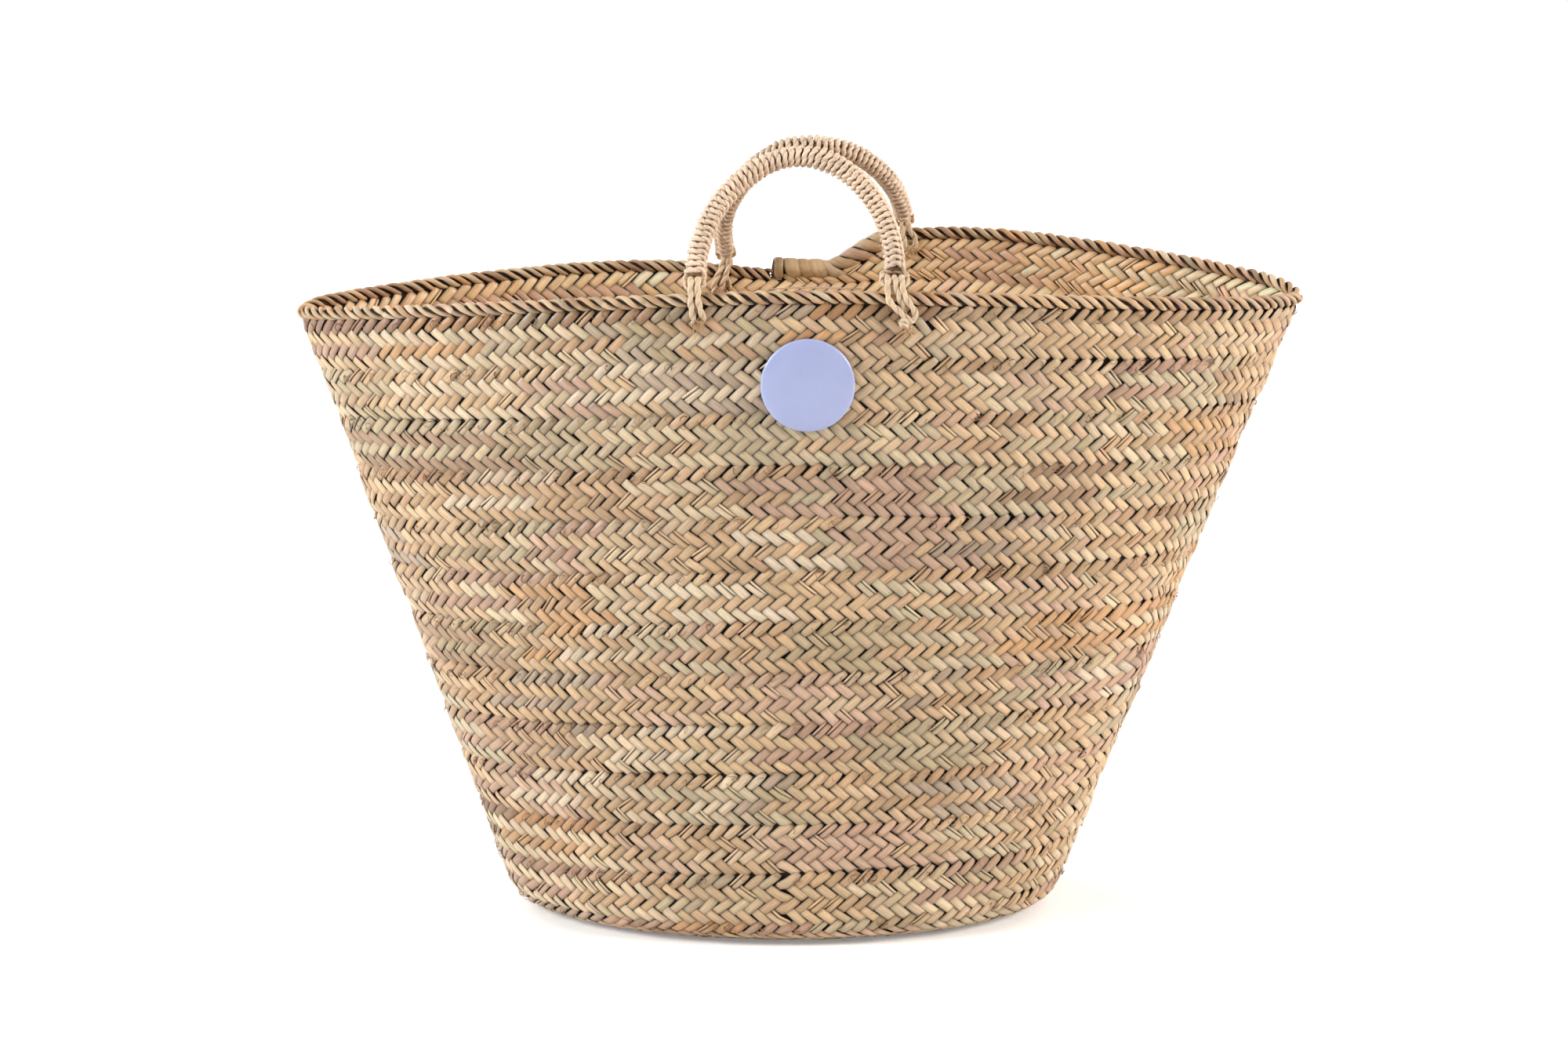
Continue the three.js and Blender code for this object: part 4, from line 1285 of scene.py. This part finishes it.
# Each handle end's cords, one after the other
laces = {
    "front_left": [
        [(-1, -19, -2), (-2, -13, -5.2), (-2.1, -6, -6), *overRim(-2.1), (-2.1, -5.5, 5.8),
         (-1.8, -11.5, 5.9), (-1, -17, 5), (-0.6, -20.5, 2), (-0.6, -21.5, 0)],
        [(3, -19, -2), (2.4, -13, -5.2), (2.1, -6, -6), *overRim(2.1), (2.3, -5.5, 5.8), (3.3, -11.5, 5.9),
         (4.9, -16.5, 5), (5.6, -19.5, 2), (5.8, -20.5, 0)],
    ],
    "front_right": [
        [(-3, -19, -2), (-3.8, -13, -5.2), (-4.1, -6, -6), (-4.1, 1, -5), (-4.1, 4.8, 0), (-4.2, 1, 5),
         (-4.2, -4.5, 6.2), (-2.6, -9.3, 7.4), (2.4, -14.4, 7.6), (7, -18.8, 7), (10.4, -20.6, 6.2),
         (12.4, -18.4, 5.8), (11.8, -14.4, 6.2), (9, -10, 6.6), (6, -5, 6.3), (4.5, 0.8, 5.1), (4.1, 4.8, 0),
         (4.1, 1, -5), (4.2, -6, -6), (4.8, -13, -5.2), (5, -19, -2)],
        [(1, -19, -2), (0.4, -13, -5.2), (0, -6, -6), (0, 1, -5), (0, 4.8, 0), (0.8, 1, 5), (2.4, -5, 5.8),
         (4.4, -10.5, 5.6), (5.6, -15.5, 4.4), (5.8, -18.5, 1.6)],
        [(4.6, -22.4, 1), (4.2, -21.2, 5.4), (6.6, -19.8, 8.6), (8.2, -22.4, 6.8), (5.6, -24.4, 5),
         (3.6, -22.6, 6.8), (6.4, -22.8, 8), (8.6, -25, 5.4), (9.6, -27.2, 4.8)],
    ],
    "rear_left": [
        [(-9.4, -23, -2), (-8.8, -18.5, -5), (-6.8, -12, -6.2), (-3.6, -6, -6.2), *overRim(-2.1), *leftLeg],
        [(-4.4, -23, -2), (-3, -17.5, -5.2), (-0.6, -12, -6.2), (1, -6, -6.2), (2, 1, -5), (2.1, 4.8, 0),
         (2.1, 1, 5), *rightLeg],
        [(2.9, -22, -2), (1.6, -17, -4.8), (-0.2, -11.5, -5.4)],
    ],
    "rear_right": [
        [*leftLeg[::-1], (-2.1, 1, 5), (-2.1, 4.8, 0), (-2, 1, -5), (-1.6, -5.5, -6.2), (-0.6, -11, -6.4),
         (1.4, -15.6, -6), (4.6, -17.2, -5.8), (7.2, -15, -6), (6.6, -10, -6.4), (3.6, -5, -6.2),
         *overRim(2.1), *rightLeg],
    ],
}
# Where each lacing's loose fibres start, by the same measures
frays = {
    "front_left": (3, -20, 4),
    "front_right": (8.4, -25, 5),
    "rear_left": (-6, -21, -4),
    "rear_right": (5, -16, -6),
}


def lacing(place, end, name):
    toRim = np.stack([place.axis, up, place.outward], 0)
    replaced = [f"{name}_lacing"]
    for k, knots in enumerate(laces[name]):
        line = smoothLine(knots, 14)
        steps = np.arange(len(line)) * 1.0
        line = line + 0.15 * np.stack([waves(steps, j, 8, 81) for j in (0, 1, 2)], -1)
        world = place.ends[end] + line @ toRim
        hint = np.broadcast_to(unit(place.axis + 0.4 * place.outward), world.shape)
        scale = handle.knotScale if k == 2 else handle.laceScale
        label = f"{name}_lacing_cord" + (f"_{k}" if k else "")
        twistedCord(label, world, hint, "basket", replaced, handle.laceTone, scale, handle.laceTwist)
        replaced = []
    count = handle.fray
    root = place.ends[end] + np.array(frays[name]) @ toRim
    out = place.outward * np.sign(frays[name][2])
    roots = root + rng.normal(0, 1.3, (count, 3))
    ways = place.axis * rng.normal(0.1, 0.7, (count, 1)) - up * 0.8
    ways = unit(ways + out * rng.uniform(0, 0.5, (count, 1)))
    bends = rng.normal(0, 0.4, (count, 3))
    fibres(f"{name}_fray", "basket", "sisal_cord", sisal, roots, ways, bends, *handle.frayFinish)


places = {side: handlePlace(*handle[side]) for side in ("front", "rear")}
for side, place in places.items():
    winding(place, side)
    handleCore(place, side)
    lacing(place, 0, f"{side}_left")
    lacing(place, 1, f"{side}_right")
print("handles ready")

# Badge: a domed disc under clear film, its edge rolled under

badge = Values(
    diameter=58,
    x=7,
    belowRim=59,
    depth=5.6,
    crown=2.2,
    standoff=0.9,
    lip=3.8,
    rollRadius=1.9,
    rollHeight=1.75,
    sheet=0.6,
    sides=96,
    tone=(206, 210, 236),
)


def badgePlace():
    x = badge.x + basket.centre[0]
    rimTop = rimFrame(np.array(rimTurnsAt(x, *frontSpan)))[0][2] + basket.edgingRadius
    turns = 0.5
    courses = 12.0
    for k in range(12):
        point = surfaceAt(np.array(turns), np.array(courses))
        turns += (x - point[0]) / (2 * math.pi * basket.mouthHalfLength)
        courses += (rimTop - badge.belowRim - point[2]) / basket.bandWidth
    outward = outwardAt(np.array(turns), np.array(courses))
    point = surfaceAt(np.array(turns), np.array(courses))
    return point + outward * (basket.courseBulge + badge.standoff), outward


def badgeDisc():
    b = badge
    centre, outward = badgePlace()
    side = unit(np.cross(up, outward))
    high = np.cross(outward, side)
    radius = b.diameter / 2
    roll = b.rollRadius
    profile = [(r, b.depth - b.crown * (r / radius) ** 3) for r in np.linspace(0.5, radius - 3, 12)]
    for a in np.radians(90 - np.linspace(10, 200, 12)):
        profile.append((radius - roll + roll * math.cos(a), roll + b.rollHeight * math.sin(a)))
    profile += [(radius - b.lip, 0.1), (radius - b.lip, b.sheet)]
    for r in np.linspace(radius - 5, 0.5, 5):
        profile.append((r, b.depth - b.sheet - b.crown * (r / radius) ** 3))
    profile = np.array(profile)
    angle = 2 * math.pi * np.arange(b.sides) / b.sides
    ring = aimed(side, high, angle)
    grid = centre + profile[:, None, :1] * ring + outward * profile[:, None, 1:]
    around = np.arange(b.sides + 1) * 1.9
    fitted = (grid[None], lengths(profile)[None], around, colour(*b.tone))
    addPiece("badge_disc", "basket", "badge_film", film, *fitted, "badge_shell")


badgeDisc()
for name in ("badge_back", "badge_pin"):
    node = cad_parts[name]
    node.data.materials.clear()
    node.data.materials.append(tin)
print("badge ready")
